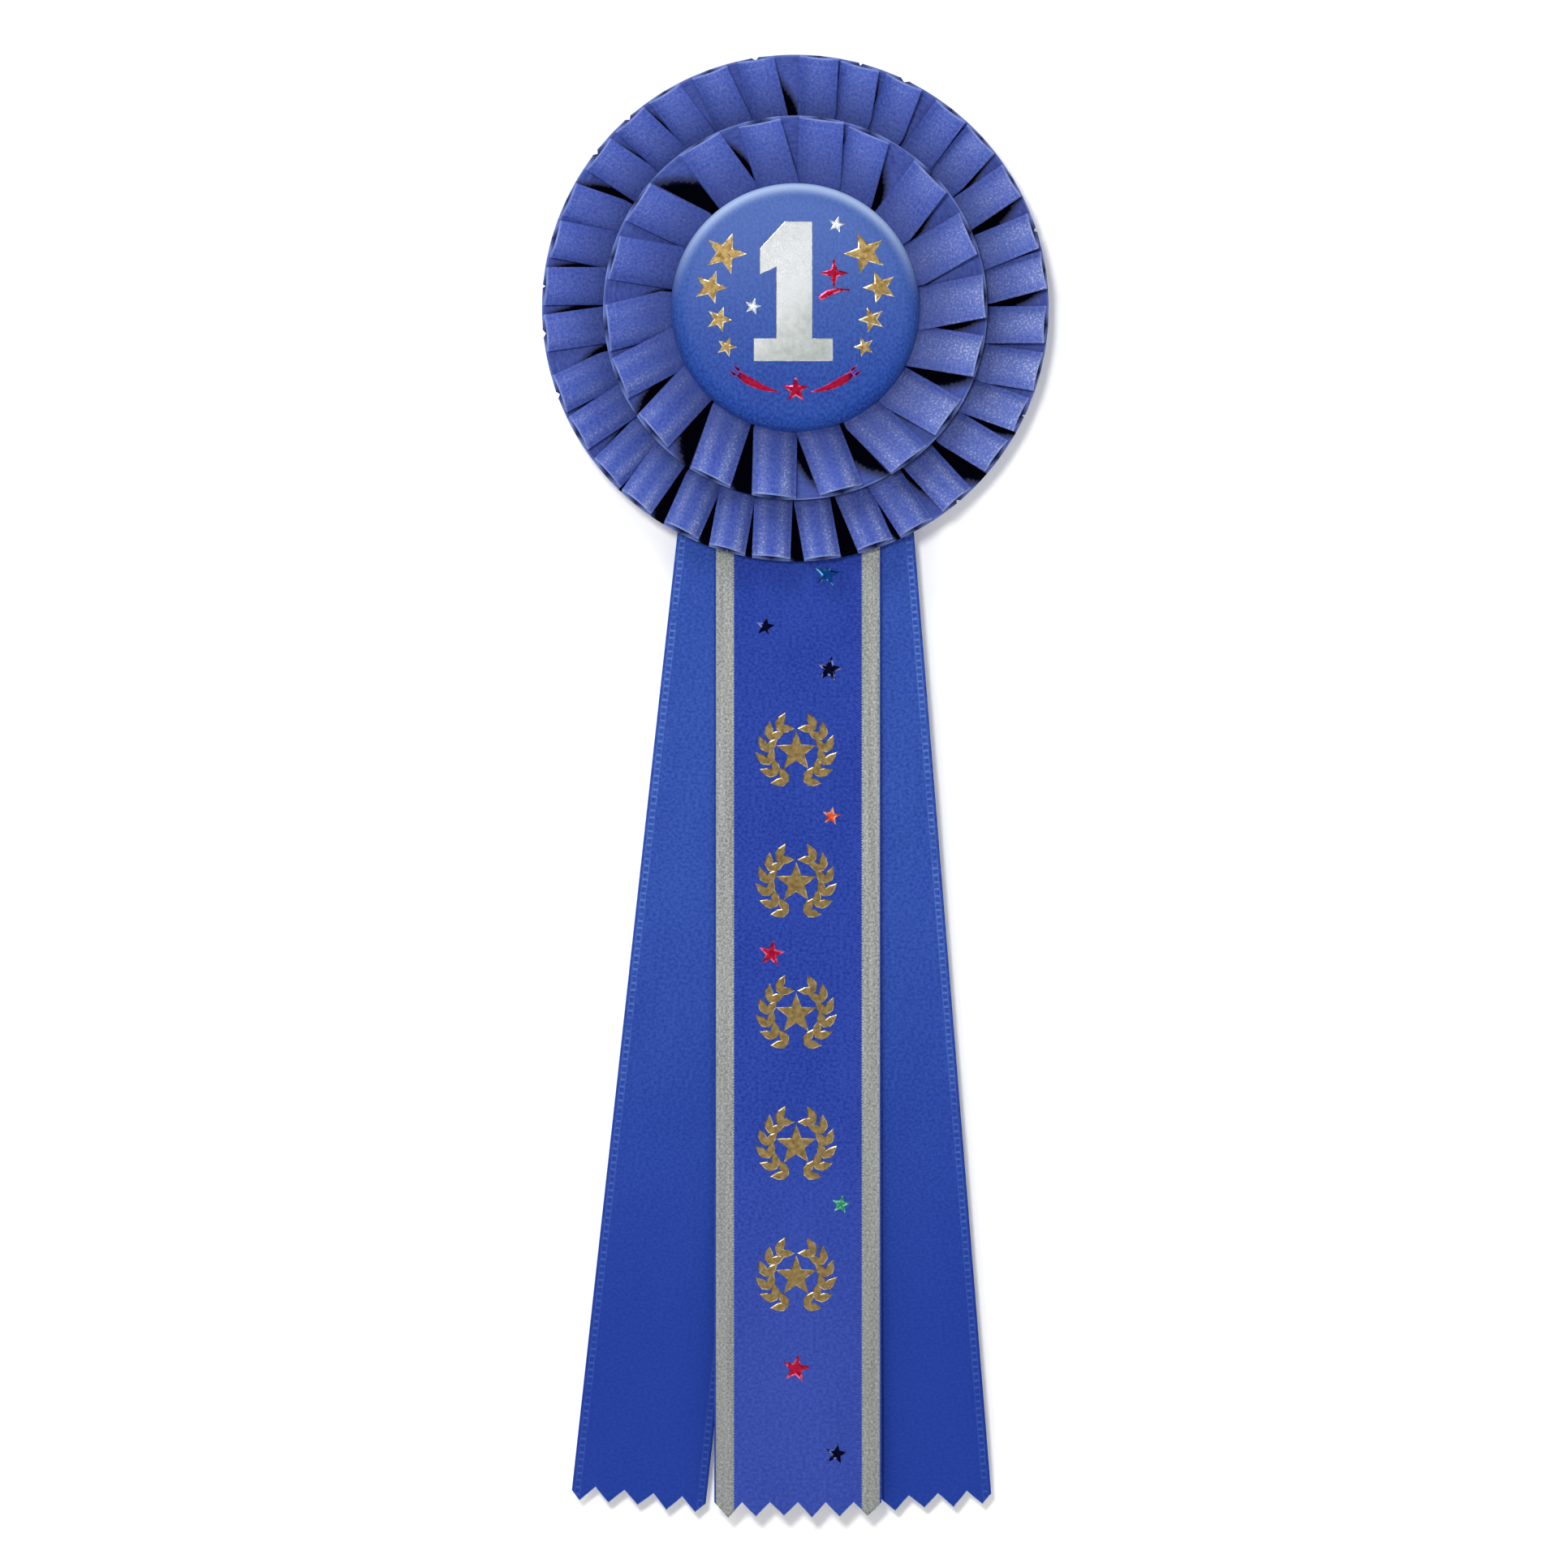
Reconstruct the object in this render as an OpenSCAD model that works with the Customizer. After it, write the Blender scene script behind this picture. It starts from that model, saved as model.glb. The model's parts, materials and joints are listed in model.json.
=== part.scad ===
// Award rosette: two rings of pleated satin ribbon round a satin-covered button,
// three satin streamers below it, and a bar pin on its back.
// Millimetres. The front faces -Y and +Z is up. The origin is on the axis of the
// rosette, on the rear face of its rear card.

/* [Pleated rings] */
// Outer radius of the outer ring
outer_ring_r = 57.7; // [56.5:0.1:59]
// Outer radius of the inner ring
inner_ring_r = 43.7; // [42.5:0.1:45]
// Width of the ribbon that both rings are pleated from
pleat_ribbon_w = 22; // [21:0.5:23]
// Number of pleats in the outer ring
outer_pleat_n = 32; // [28:1:34]
// Number of pleats in the inner ring
inner_pleat_n = 18; // [16:1:20]
// Width of a pleat's face at the rim of the outer ring
outer_face_w = 8.5; // [7.5:0.1:9]
// Width of a pleat's face at the rim of the inner ring
inner_face_w = 10; // [9:0.1:11.5]

/* [Button] */
// Radius of the button
button_r = 28.5; // [27:0.5:29]
// Radius of the rounding along the button's rim
button_edge_r = 3.2; // [2.6:0.1:3.6]
// Radius of the button's shallow crown
button_crown_r = 220; // [180:10:300]

/* [Streamers] */
// Width of the centre streamer
centre_w = 38.5; // [36:0.5:40]
// Width of each side streamer
side_w = 31; // [29:0.5:33]
// Length of the centre streamer below its fold
centre_l = 217; // [190:1:230]
// Length of each side streamer below its fold
side_l = 216; // [190:1:230]
// Outward lean of the left streamer
left_lean = 6.3; // [5.5:0.1:7.5]
// Outward lean of the right streamer
right_lean = 4.6; // [4:0.1:6]
// Depth of the pinked teeth along the streamers' ends
tooth_depth = 3.3; // [2.5:0.1:4]
// Pitch of the pinked teeth
tooth_pitch = 6.3; // [5:0.1:7.5]

/* [Bar pin] */
// Length of the pin's base bar
pin_bar_l = 24; // [24:0.5:26]
// Width of the pin's base bar
pin_bar_w = 4.8; // [4.6:0.1:6]
// Radius of the needle
needle_r = 0.45; // [0.4:0.05:0.5]
// Height of the pin above the rosette's centre
pin_z = 18; // [10:1:24]

/* [Hidden] */
$fn = 96;

ribbon_t = 0.3;   // thickness of every ribbon
layer_gap = 0.1;  // air between neighbouring layers of the stack
touch_gap = 0.05; // air between curved pieces that rest on each other

// The stack of layers, as heights forward of the rear card's rear face
card_t = 0.8;
staple_t = 0.4;
staple_h = card_t + touch_gap;
right_h = staple_h + staple_t + touch_gap;
left_h = right_h + ribbon_t + layer_gap;
centre_h = left_h + ribbon_t + layer_gap;
front_card_h = centre_h + ribbon_t + layer_gap;
outer_floor_h = front_card_h + card_t + layer_gap;
inner_card_h = outer_floor_h + 2.5;
inner_card_t = 0.7;
inner_floor_h = inner_card_h + inner_card_t + touch_gap;
button_h = inner_floor_h + 3.3;

// Pleats: height of the folded edges and of the crown, at the hub and at the rim
hub_crease_h = 1.5;
hub_crown_h = 1.95;
rim_crease_h = 3;
rim_crown_h = 3.75;
outer_lift = 1.6; // how far forward of its hub each ring's rim lies
inner_lift = 1.8;
mitre_limit = 1.5;
hub_fill = 0.92; // share of the ring that the faces cover at the hub
hub_tuck = 2.4;  // how far a pleat folds under itself at the hub
rim_tuck = 2;    // and at the rim
outer_hub_r = outer_ring_r - pleat_ribbon_w;
inner_hub_r = inner_ring_r - pleat_ribbon_w;
thread_r = 0.25;

// Cards and glue
rear_card_r = 35;
front_card_r = outer_hub_r + 3.3;
inner_card_r = outer_hub_r + 2.3;
glue_r = 16;

// Staples through the streamers' heads
staple_w = 10;
staple_leg = 0.5;
staple_y = -26;
staple_spots = [-9, 9];
clinch_l = 3.4;

// Button
cover_t = 0.25;
shell_t = 0.35;
hem_w = 2.4; // satin turned in behind the button
boss_r = 19; // stepped middle of the button's back, which meets the inner card
edge_centre_h = button_h + 0.55;
crown_centre_h = edge_centre_h
    - sqrt(pow(button_crown_r - button_edge_r, 2) - pow(button_r - button_edge_r, 2));
crown_edge_angle = acos((button_r - button_edge_r) / (button_crown_r - button_edge_r));
foil_t = 0.1;

// Streamers: where each centre line crosses the fold below the rosette
fold_y = -outer_ring_r - 1.8;
centre_fold = [0.6, fold_y];
left_fold = [-12.4, fold_y];
right_fold = [12.4, fold_y];
fold_gap = 0.4; // between a streamer's fixed head and its hanging tail
head_l = 40;
side_swing = 60; // how far back each side tail swings

// The left tail's hidden inner corner is cut back along a line, so that the two side
// tails pass each other however far they swing: where the line starts, and its slant
trim_gap = 0.6;
trim_start = (right_fold[0] - left_fold[0] - trim_gap - side_w / 2 * cos(right_lean)) / cos(left_lean);
trim_slant = atan((sin(left_lean) + sin(right_lean)) * cos(side_swing) / cos(left_lean));

// Foil on the button: [x, y, outer radius]
gold_star_spots = [[16.1, 12.4, 5], [19.5, 4.6, 4], [17.5, -2.8, 3.15], [15.8, -9.1, 2.45]];
silver_star_spots = [[9.5, 19, 2], [-9.75, 0.15, 2]];
red_star_spot = [0.1, -19, 3.15];
trail_r = 21.3;         // radius of the two trails' arcs
trail_centre_y = 1.5;   // height of the arcs' shared centre
trail_outer = 232;      // angle of a trail's broad outer end
trail_inner = 261.5;    // and of its point, beside the red star
trail_w = 1.8;
strand_offsets = [-0.75, 0.65]; // frayed strands beyond the outer end
strand_w = 0.75;
strand_angle = 5.5;

spark_spot = [8.9, 7.8]; // ornament beside the numeral: a spark over a curved stroke
spark_r = 3.5;
stroke_centre = [11.4, -5];
stroke_r = 9;

// Foil on the centre streamer: [x, y, outer radius], and the column of wreaths
red_spots = [[-5.5, -148.6, 3.2], [0.2, -244.1, 3.4]];
navy_spots = [[-6.9, -73.3, 2.3], [7.9, -83.2, 3.2], [9.4, -263.7, 2.6]];
cyan_spots = [[7.3, -61.2, 3]];
orange_spots = [[8.3, -116.9, 2.2]];
green_spots = [[10.5, -206.3, 2.2]];
star_turn = -9; // each of these stars leans a little
wreath_n = 5;
wreath_top_y = -102.1;
wreath_pitch = 30.2;
wreath_r = 7;
wreath_leaf_n = 6;
wreath_star_r = 4.9;
leaf_l = 4.3;
leaf_w = 2;

// Bar pin
pad_t = 0.8;
bar_t = 0.6;
pin_axis_y = pad_t + bar_t + 2.4;
pivot_x = -9.7;
pivot_r = 0.5;
running_gap = 0.05;
ear_r = 1.1;
ear_t = 0.6;
eye_r = 1.15;
eye_l = 1.1;
ear_inner = eye_l / 2 + 0.1;
shank_end_x = 6; // the needle is straight up to here, and tapers through the catch
point_l = 5.6;
catch_x = 6.8;
catch_l = 2.2;
catch_r = 2;
catch_bore_r = 1.5;
catch_slot_w = 1.6;
roller_bore_r = 0.62;
roller_slot_w = 1.24;
roller_flange_l = 0.45;
collar_l = 1.5;
collar_r = 2;
collar_notch_n = 12;

ribbon_blue = [0.23, 0.28, 0.66];
side_blue = [0.15, 0.25, 0.6];
card_white = [0.9, 0.9, 0.88];
steel = [0.75, 0.75, 0.77];
foil_gold = [0.8, 0.62, 0.25];
foil_silver = [0.82, 0.82, 0.84];
foil_red = [0.75, 0.1, 0.15];

// ---- Helpers -------------------------------------------------------------

// Turns a flat drawing (x right, y up, height forward) to stand upright, facing -Y
module facing() { rotate([90, 0, 0]) children(); }

function polar(r, angle) = [r * cos(angle), r * sin(angle)];

function star_points(r, points = 5) =
    [for (i = [0:2 * points - 1]) polar(i % 2 == 0 ? r : 0.42 * r, 90 + i * 180 / points)];

module star_outline(spot, turn = 0) {
    translate([spot[0], spot[1]]) rotate(turn) polygon(star_points(spot[2]));
}

// Half the width of a comet trail at share u of its length: blunt, then widest at a
// quarter of the way, then drawn out to a point
function trail_half(w, u) = w / 2 * sin(180 * (0.25 + 0.75 * pow(u, 0.8)));

// A comet trail along an arc, w wide at its widest
function trail_points(r, from, to, w, steps = 14) = concat(
    [for (i = [0:steps]) polar(r + trail_half(w, i / steps), from + (to - from) * i / steps)],
    [for (i = [steps - 1:-1:0]) polar(r - trail_half(w, i / steps), from + (to - from) * i / steps)]);

// ---- Pleated rings -------------------------------------------------------

function on_ring(r, along, h) = [r * sin(along / r * 180 / PI), r * cos(along / r * 180 / PI), h];

// One pleat across its width, as [distance along the ring, height]: the fold under
// its left side, the raised face, and the fold under its right side
function pleat_profile(w, tuck, crease_h, crown_h) =
    let (low = ribbon_t / 2, under = low + 2 * ribbon_t)
    [[tuck, low], [tuck, under], [0, crease_h], [w / 2, crown_h], [w, crease_h],
     [w - tuck, under], [w - tuck, low]];

function ring_path(r, n, w, tuck, crease_h, crown_h) =
    [for (i = [0:n - 1], p = pleat_profile(w, tuck, crease_h, crown_h))
        [i * 2 * PI * r / n + p[0], p[1]]];

// Mitred offset of the ring's path at point k, for one unit of thickness; the path
// repeats after one full turn, and a sharp crease's mitre is cut short
function path_offset(path, k, turn) =
    let (last = len(path) - 1,
         before = k == 0 ? path[last] - [turn, 0] : path[k - 1],
         after = k == last ? path[0] + [turn, 0] : path[k + 1],
         into = (path[k] - before) / norm(path[k] - before),
         out = (after - path[k]) / norm(after - path[k]),
         both = [-into[1] - out[1], into[0] + out[0]],
         mitre = both / (1 + into * out))
    mitre * min(1, mitre_limit / norm(mitre));

// The path at radius r and height lift, moved to one side of the ribbon's middle
function ring_side(r, path, lift, side) =
    [for (k = [0:len(path) - 1])
        let (p = path[k] + side * path_offset(path, k, 2 * PI * r))
        on_ring(r, p[0], p[1] + lift)];

// Halves of a four-sided face, cut from its first corner or from its second
function halves(q, cut) = [[q[cut], q[cut + 1], q[cut + 2]], [q[cut], q[cut + 2], q[(cut + 3) % 4]]];

// Both skins of the ribbon are cut along the same diagonals, so that they stay apart
module pleated_ring(rim_r, n, face_w, lift) {
    hub_r = rim_r - pleat_ribbon_w;
    hub_face_w = hub_fill * 2 * PI * hub_r / n;
    hub = ring_path(hub_r, n, hub_face_w, hub_tuck, hub_crease_h, hub_crown_h);
    rim = ring_path(rim_r, n, face_w, rim_tuck, rim_crease_h, rim_crown_h);
    t = ribbon_t / 2;
    m = len(hub);
    corners = concat(ring_side(hub_r, hub, 0, t), ring_side(rim_r, rim, lift, t),
                     ring_side(rim_r, rim, lift, -t), ring_side(hub_r, hub, 0, -t));
    triangles = [for (j = [0:3], k = [0:m - 1])
        let (q = [j * m + k, (j + 1) % 4 * m + k, (j + 1) % 4 * m + (k + 1) % m, j * m + (k + 1) % m])
        each halves(q, j == 2 ? 1 : 0)];
    polyhedron(corners, triangles, convexity = 10);
}

module outer_pleats() {
    color(ribbon_blue)
        facing() translate([0, 0, outer_floor_h])
            pleated_ring(outer_ring_r, outer_pleat_n, outer_face_w, outer_lift);
}

module inner_pleats() {
    color(ribbon_blue)
        facing() translate([0, 0, inner_floor_h])
            pleated_ring(inner_ring_r, inner_pleat_n, inner_face_w, inner_lift);
}

// The gathering thread runs round the ring just inside the pleats' inner ends
module gathering_thread(hub_r, floor_h) {
    color("white")
        facing() translate([0, 0, floor_h + 2 * thread_r])
            rotate_extrude() translate([hub_r - thread_r - touch_gap, 0]) circle(thread_r, $fn = 16);
}

module outer_gathering_thread() { gathering_thread(outer_hub_r, outer_floor_h); }

module inner_gathering_thread() { gathering_thread(inner_hub_r, inner_floor_h); }

// ---- Cards, glue and staples ---------------------------------------------

module card_disc(r, h, t) {
    color(card_white)
        facing() translate([0, 0, h]) cylinder(r = r, h = t);
}

module rear_card() { card_disc(rear_card_r, 0, card_t); }

module front_card() {
    difference() {
        card_disc(front_card_r, front_card_h, card_t);
        staple_holes();
    }
}

module inner_card() { card_disc(inner_card_r, inner_card_h, inner_card_t); }

module glue_pad() {
    h = front_card_h + card_t + touch_gap;
    color([0.93, 0.88, 0.7])
        facing() translate([0, 0, h]) cylinder(r = glue_r, h = inner_card_h - h - touch_gap);
}

module staple_legs(x, grow) {
    top_h = front_card_h + card_t + touch_gap + staple_t;
    for (side = [-1, 1])
        translate([x + side * (staple_w - staple_leg) / 2, staple_y, (staple_h + top_h) / 2])
            cube([staple_leg + grow, staple_leg + grow, top_h - staple_h], center = true);
}

module staple_holes() {
    facing() for (x = staple_spots) staple_legs(x, 2 * touch_gap);
}

// The crown lies behind the streamers' heads, and the legs are clinched inwards
// over the front card
module staples() {
    clinch_h = front_card_h + card_t + touch_gap;
    color(steel)
        facing() for (x = staple_spots) {
            staple_legs(x, 0);
            translate([x - staple_w / 2, staple_y - staple_leg / 2, staple_h])
                cube([staple_w, staple_leg, staple_t]);
            for (side = [-1, 1])
                translate([x + side * (staple_w - clinch_l) / 2 - clinch_l / 2,
                           staple_y - staple_leg / 2, clinch_h])
                    cube([clinch_l, staple_leg, staple_t]);
        }
}

// ---- Button ----------------------------------------------------------------

// Half section of the button's front, inset from its outer surface: the crown from
// the axis outwards, then the rounding down to the rim
function dome_section(inset, crown_steps = 10, edge_steps = 8) =
    let (crown_r = button_crown_r - inset, edge_r = button_edge_r - inset,
         join_x = crown_r * cos(crown_edge_angle))
    concat(
        [for (i = [0:crown_steps - 1]) let (x = join_x * i / crown_steps)
            [x, crown_centre_h + sqrt(crown_r * crown_r - x * x)]],
        [for (i = [0:edge_steps])
            let (p = polar(edge_r, crown_edge_angle * (1 - i / edge_steps)))
            [button_r - button_edge_r + p[0], edge_centre_h + p[1]]]);

function reversed(list) = [for (i = [len(list) - 1:-1:0]) list[i]];

module button_cover() {
    hem_r = button_r - hem_w;
    color(ribbon_blue)
        facing() rotate_extrude()
            polygon(concat(
                dome_section(0),
                [[button_r - 0.5, button_h], [hem_r, button_h], [hem_r, button_h + cover_t],
                 [button_r - cover_t - 0.4, button_h + cover_t]],
                reversed(dome_section(cover_t))));
}

module button_shell() {
    inset = cover_t + touch_gap;
    color(steel)
        facing() rotate_extrude()
            polygon(concat(
                dome_section(inset),
                [[button_r - inset - 0.3, button_h + cover_t + touch_gap],
                 [button_r - inset - shell_t - 0.3, button_h + cover_t + touch_gap]],
                reversed(dome_section(inset + shell_t))));
}

// Pressed plate that closes the button; its stepped middle rests on the inner card
module button_back() {
    rest_h = inner_card_h + inner_card_t + touch_gap;
    plate_h = button_h + cover_t + touch_gap;
    plate_r = button_r - cover_t - shell_t - 3 * touch_gap - 0.5;
    color(steel)
        facing() rotate_extrude()
            polygon([[0, rest_h], [boss_r, rest_h], [boss_r, plate_h], [plate_r, plate_h],
                     [plate_r, plate_h + shell_t], [boss_r - shell_t, plate_h + shell_t],
                     [boss_r - shell_t, rest_h + shell_t], [0, rest_h + shell_t]]);
}

// ---- Foil on the button ----------------------------------------------------

// Lays a flat outline on the button's crown as a thin skin
module on_crown() {
    facing() intersection() {
        translate([0, 0, button_h]) linear_extrude(12) children();
        translate([0, 0, crown_centre_h]) difference() {
            sphere(r = button_crown_r + touch_gap + foil_t, $fn = 180);
            sphere(r = button_crown_r + touch_gap, $fn = 180);
        }
    }
}

// A plain slab numeral one
module numeral() {
    color(foil_silver)
        on_crown()
            polygon([[-9.6, -12.4], [8.6, -12.4], [8.6, -7.2], [3.9, -7.2], [3.9, 19.7], [-2.4, 19.7],
                     [-8.2, 13.4], [-8.2, 7.5], [-4.4, 9.2], [-4.4, -7.2], [-9.6, -7.2]]);
}

// A four-pointed spark over a curved stroke, beside the numeral
module numeral_ornament() {
    color(foil_red)
        on_crown() {
            translate(spark_spot)
                polygon([for (i = [0:7]) polar(i % 2 == 0 ? spark_r : 0.32 * spark_r, 90 + i * 45)]);
            translate(stroke_centre) polygon(trail_points(stroke_r, 130, 82, 1.4));
        }
}

module button_gold_stars() {
    color(foil_gold)
        on_crown() for (side = [0, 1]) mirror([side, 0])
            for (i = [0:len(gold_star_spots) - 1]) star_outline(gold_star_spots[i], 20);
}

module button_silver_stars() {
    color(foil_silver)
        on_crown() for (spot = silver_star_spots) star_outline(spot, -14);
}

module button_red_star() {
    color(foil_red) on_crown() star_outline(red_star_spot);
}

// Two comet trails that sweep in to the red star
module button_red_trails() {
    color(foil_red)
        on_crown() translate([0, trail_centre_y]) for (side = [0, 1]) mirror([side, 0]) {
            polygon(trail_points(trail_r, trail_outer, trail_inner, trail_w));
            for (offset = strand_offsets)
                polygon(trail_points(trail_r + offset, trail_outer - 0.4, trail_outer - strand_angle,
                                     strand_w, 6));
        }
}

// ---- Streamers -------------------------------------------------------------

// Tail of a streamer below its fold at y = 0, with a pinked lower end
module tail_outline(w, l) {
    n = round(w / tooth_pitch);
    zigzag = [for (i = [0:2 * n])
        [-w / 2 + w * i / (2 * n), -l + (i % 2 == 0 ? tooth_depth / 2 : -tooth_depth / 2)]];
    polygon(concat([[w / 2, -fold_gap / 2], [-w / 2, -fold_gap / 2]], zigzag));
}

module head_outline(w) {
    translate([-w / 2, fold_gap / 2]) square([w, head_l]);
}

// Places a streamer's drawing at its fold, leaning by angle, in its own layer
module hung_at(fold, lean, h) {
    translate([fold[0], fold[1], h]) rotate(lean) linear_extrude(ribbon_t) children();
}

module streamer_head(fold, lean, h, w, tint) {
    color(tint) difference() {
        facing() hung_at(fold, lean, h) head_outline(w);
        staple_holes();
    }
}

module centre_streamer_head() {
    streamer_head(centre_fold, 0, centre_h, centre_w, ribbon_blue);
}

module left_streamer_head() {
    streamer_head(left_fold, -left_lean, left_h, side_w, side_blue);
}

module right_streamer_head() {
    streamer_head(right_fold, right_lean, right_h, side_w, side_blue);
}

module centre_streamer() {
    color(ribbon_blue)
        facing() hung_at(centre_fold, 0, centre_h) tail_outline(centre_w, centre_l);
}

module left_streamer() {
    color(side_blue)
        facing() difference() {
            hung_at(left_fold, -left_lean, left_h) tail_outline(side_w, side_l);
            translate([left_fold[0], left_fold[1], left_h - layer_gap]) rotate(-left_lean)
                translate([trim_start, 0, 0]) rotate(trim_slant) translate([0, -side_l, 0])
                    cube([side_w, side_l, ribbon_t + 2 * layer_gap]);
        }
}

module right_streamer() {
    color(side_blue)
        facing() hung_at(right_fold, right_lean, right_h) tail_outline(side_w, side_l);
}

// ---- Foil on the centre streamer ---------------------------------------------

// Lays a flat outline on the front of the centre streamer's tail
module on_streamer() {
    facing() translate([0, 0, centre_h + ribbon_t + 0.02]) linear_extrude(foil_t)
        intersection() {
            children();
            translate([-centre_w / 2, fold_y - fold_gap / 2 - centre_l]) square([centre_w, centre_l]);
        }
}

module foil_stars(spots, tint) {
    color(tint) on_streamer() for (spot = spots) star_outline(spot, star_turn);
}

module streamer_red_stars() { foil_stars(red_spots, foil_red); }

module streamer_navy_stars() { foil_stars(navy_spots, [0.1, 0.13, 0.4]); }

module streamer_cyan_star() { foil_stars(cyan_spots, [0.2, 0.75, 0.85]); }

module streamer_orange_star() { foil_stars(orange_spots, [0.9, 0.35, 0.15]); }

module streamer_green_star() { foil_stars(green_spots, [0.15, 0.55, 0.35]); }

// A pointed leaf along +x, starting at the origin
module leaf_outline(l, w) {
    polygon([[0, 0], [0.3 * l, w / 2], [0.6 * l, w / 2.3], [l, 0], [0.6 * l, -w / 2.3], [0.3 * l, -w / 2]]);
}

// A star between two sprays of leaves that rise from the bottom
module wreath_outline() {
    polygon(star_points(wreath_star_r));
    for (side = [0, 1]) mirror([side, 0])
        for (i = [0:wreath_leaf_n - 1]) {
            angle = -76 + i * 25;
            for (spread = [-1, 1])
                translate(polar(wreath_r, angle)) rotate(angle + 100 - spread * 30)
                    leaf_outline(leaf_l, leaf_w);
        }
}

module gold_wreaths() {
    color(foil_gold)
        on_streamer() for (i = [0:wreath_n - 1])
            translate([0.2, wreath_top_y - i * wreath_pitch]) wreath_outline();
}

// ---- Bar pin -----------------------------------------------------------------

module pin_bar(y, t) {
    translate([-pin_bar_l / 2, y, pin_z - pin_bar_w / 2]) cube([pin_bar_l, t, pin_bar_w]);
}

module pin_pad() { color("white") pin_bar(0, pad_t); }

// Cylinder along Z through the needle's pivot
module on_pivot(r, l) {
    translate([pivot_x, pin_axis_y, pin_z - l / 2]) cylinder(r = r, h = l);
}

// Cylinder along X on the needle's axis
module on_needle_axis(x, r, l, tip_r = -1) {
    translate([x, pin_axis_y, pin_z]) rotate([0, 90, 0])
        cylinder(r1 = r, r2 = tip_r < 0 ? r : tip_r, h = l);
}

// Opening from the needle's axis away from the card
module axis_slot(x, l, w) {
    translate([x, pin_axis_y, pin_z - w / 2]) cube([l, 2 * catch_r, w]);
}

module pin_base() {
    color(steel) difference() {
        union() {
            pin_bar(pad_t, bar_t);
            for (side = [-1, 1])
                translate([0, 0, side * (ear_inner + ear_t / 2)]) {
                    on_pivot(ear_r, ear_t);
                    translate([pivot_x - ear_r, pad_t, pin_z - ear_t / 2])
                        cube([2 * ear_r, pin_axis_y - pad_t, ear_t]);
                }
        }
        on_pivot(pivot_r + running_gap, pin_bar_w + 2);
    }
}

// Its heads stand outside the two ears
module pin_rivet() {
    ears_l = 2 * (ear_inner + ear_t);
    color(steel) {
        on_pivot(pivot_r, ears_l + 0.8);
        for (side = [-1, 1])
            translate([0, 0, side * (ears_l / 2 + running_gap + 0.2)]) on_pivot(0.9, 0.4);
    }
}

module pin_needle() {
    start_x = pivot_x + (pivot_r + eye_r) / 2;
    color(steel) {
        difference() {
            union() {
                on_pivot(eye_r, eye_l);
                on_needle_axis(start_x, needle_r, shank_end_x - start_x);
            }
            on_pivot(pivot_r + running_gap, eye_l + 1);
        }
        on_needle_axis(shank_end_x, needle_r, point_l, 0.05);
    }
}

module pin_catch() {
    foot_y = pad_t + bar_t;
    color(steel) difference() {
        union() {
            on_needle_axis(catch_x, catch_r, catch_l);
            translate([catch_x, foot_y, pin_z - 1.2]) cube([catch_l, pin_axis_y - foot_y, 2.4]);
        }
        on_needle_axis(catch_x - 1, catch_bore_r, catch_l + 2);
        axis_slot(catch_x - 1, catch_l + 2, catch_slot_w);
    }
}

// Split tube that turns in the catch; its notched collar is turned by a fingertip
module pin_roller() {
    flange_x = catch_x - 0.15 - roller_flange_l;
    collar_x = catch_x + catch_l + 0.15;
    length = collar_x + collar_l - flange_x;
    color(steel) difference() {
        union() {
            on_needle_axis(flange_x, catch_bore_r - 0.08, length);
            on_needle_axis(flange_x, catch_bore_r + 0.3, roller_flange_l);
            on_needle_axis(collar_x, collar_r, collar_l);
        }
        on_needle_axis(flange_x - 1, roller_bore_r, length + 2);
        axis_slot(flange_x - 1, length + 2, roller_slot_w);
        for (i = [0:collar_notch_n - 1])
            translate([collar_x - 0.05, pin_axis_y, pin_z])
                rotate([i * 360 / collar_notch_n + 180 / collar_notch_n, 0, 0])
                    translate([0, collar_r - 0.2, -0.2]) cube([collar_l + 0.1, 0.5, 0.4]);
    }
}

rear_card();
front_card();
inner_card();
glue_pad();
staples();
outer_pleats();
inner_pleats();
outer_gathering_thread();
inner_gathering_thread();
button_back();
button_shell();
button_cover();
numeral();
numeral_ornament();
button_gold_stars();
button_silver_stars();
button_red_star();
button_red_trails();
centre_streamer_head();
left_streamer_head();
right_streamer_head();
centre_streamer();
left_streamer();
right_streamer();
gold_wreaths();
streamer_red_stars();
streamer_navy_stars();
streamer_cyan_star();
streamer_orange_star();
streamer_green_star();
pin_pad();
pin_base();
pin_rivet();
pin_needle();
pin_catch();
pin_roller();
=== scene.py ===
"""Award rosette: pleated satin rings, a satin-covered button with stamped foil, and three streamers.

Everything is in metres, in the CAD frame: the front faces -Y and +Z is up.
"""
import json
import math
import random

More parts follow.
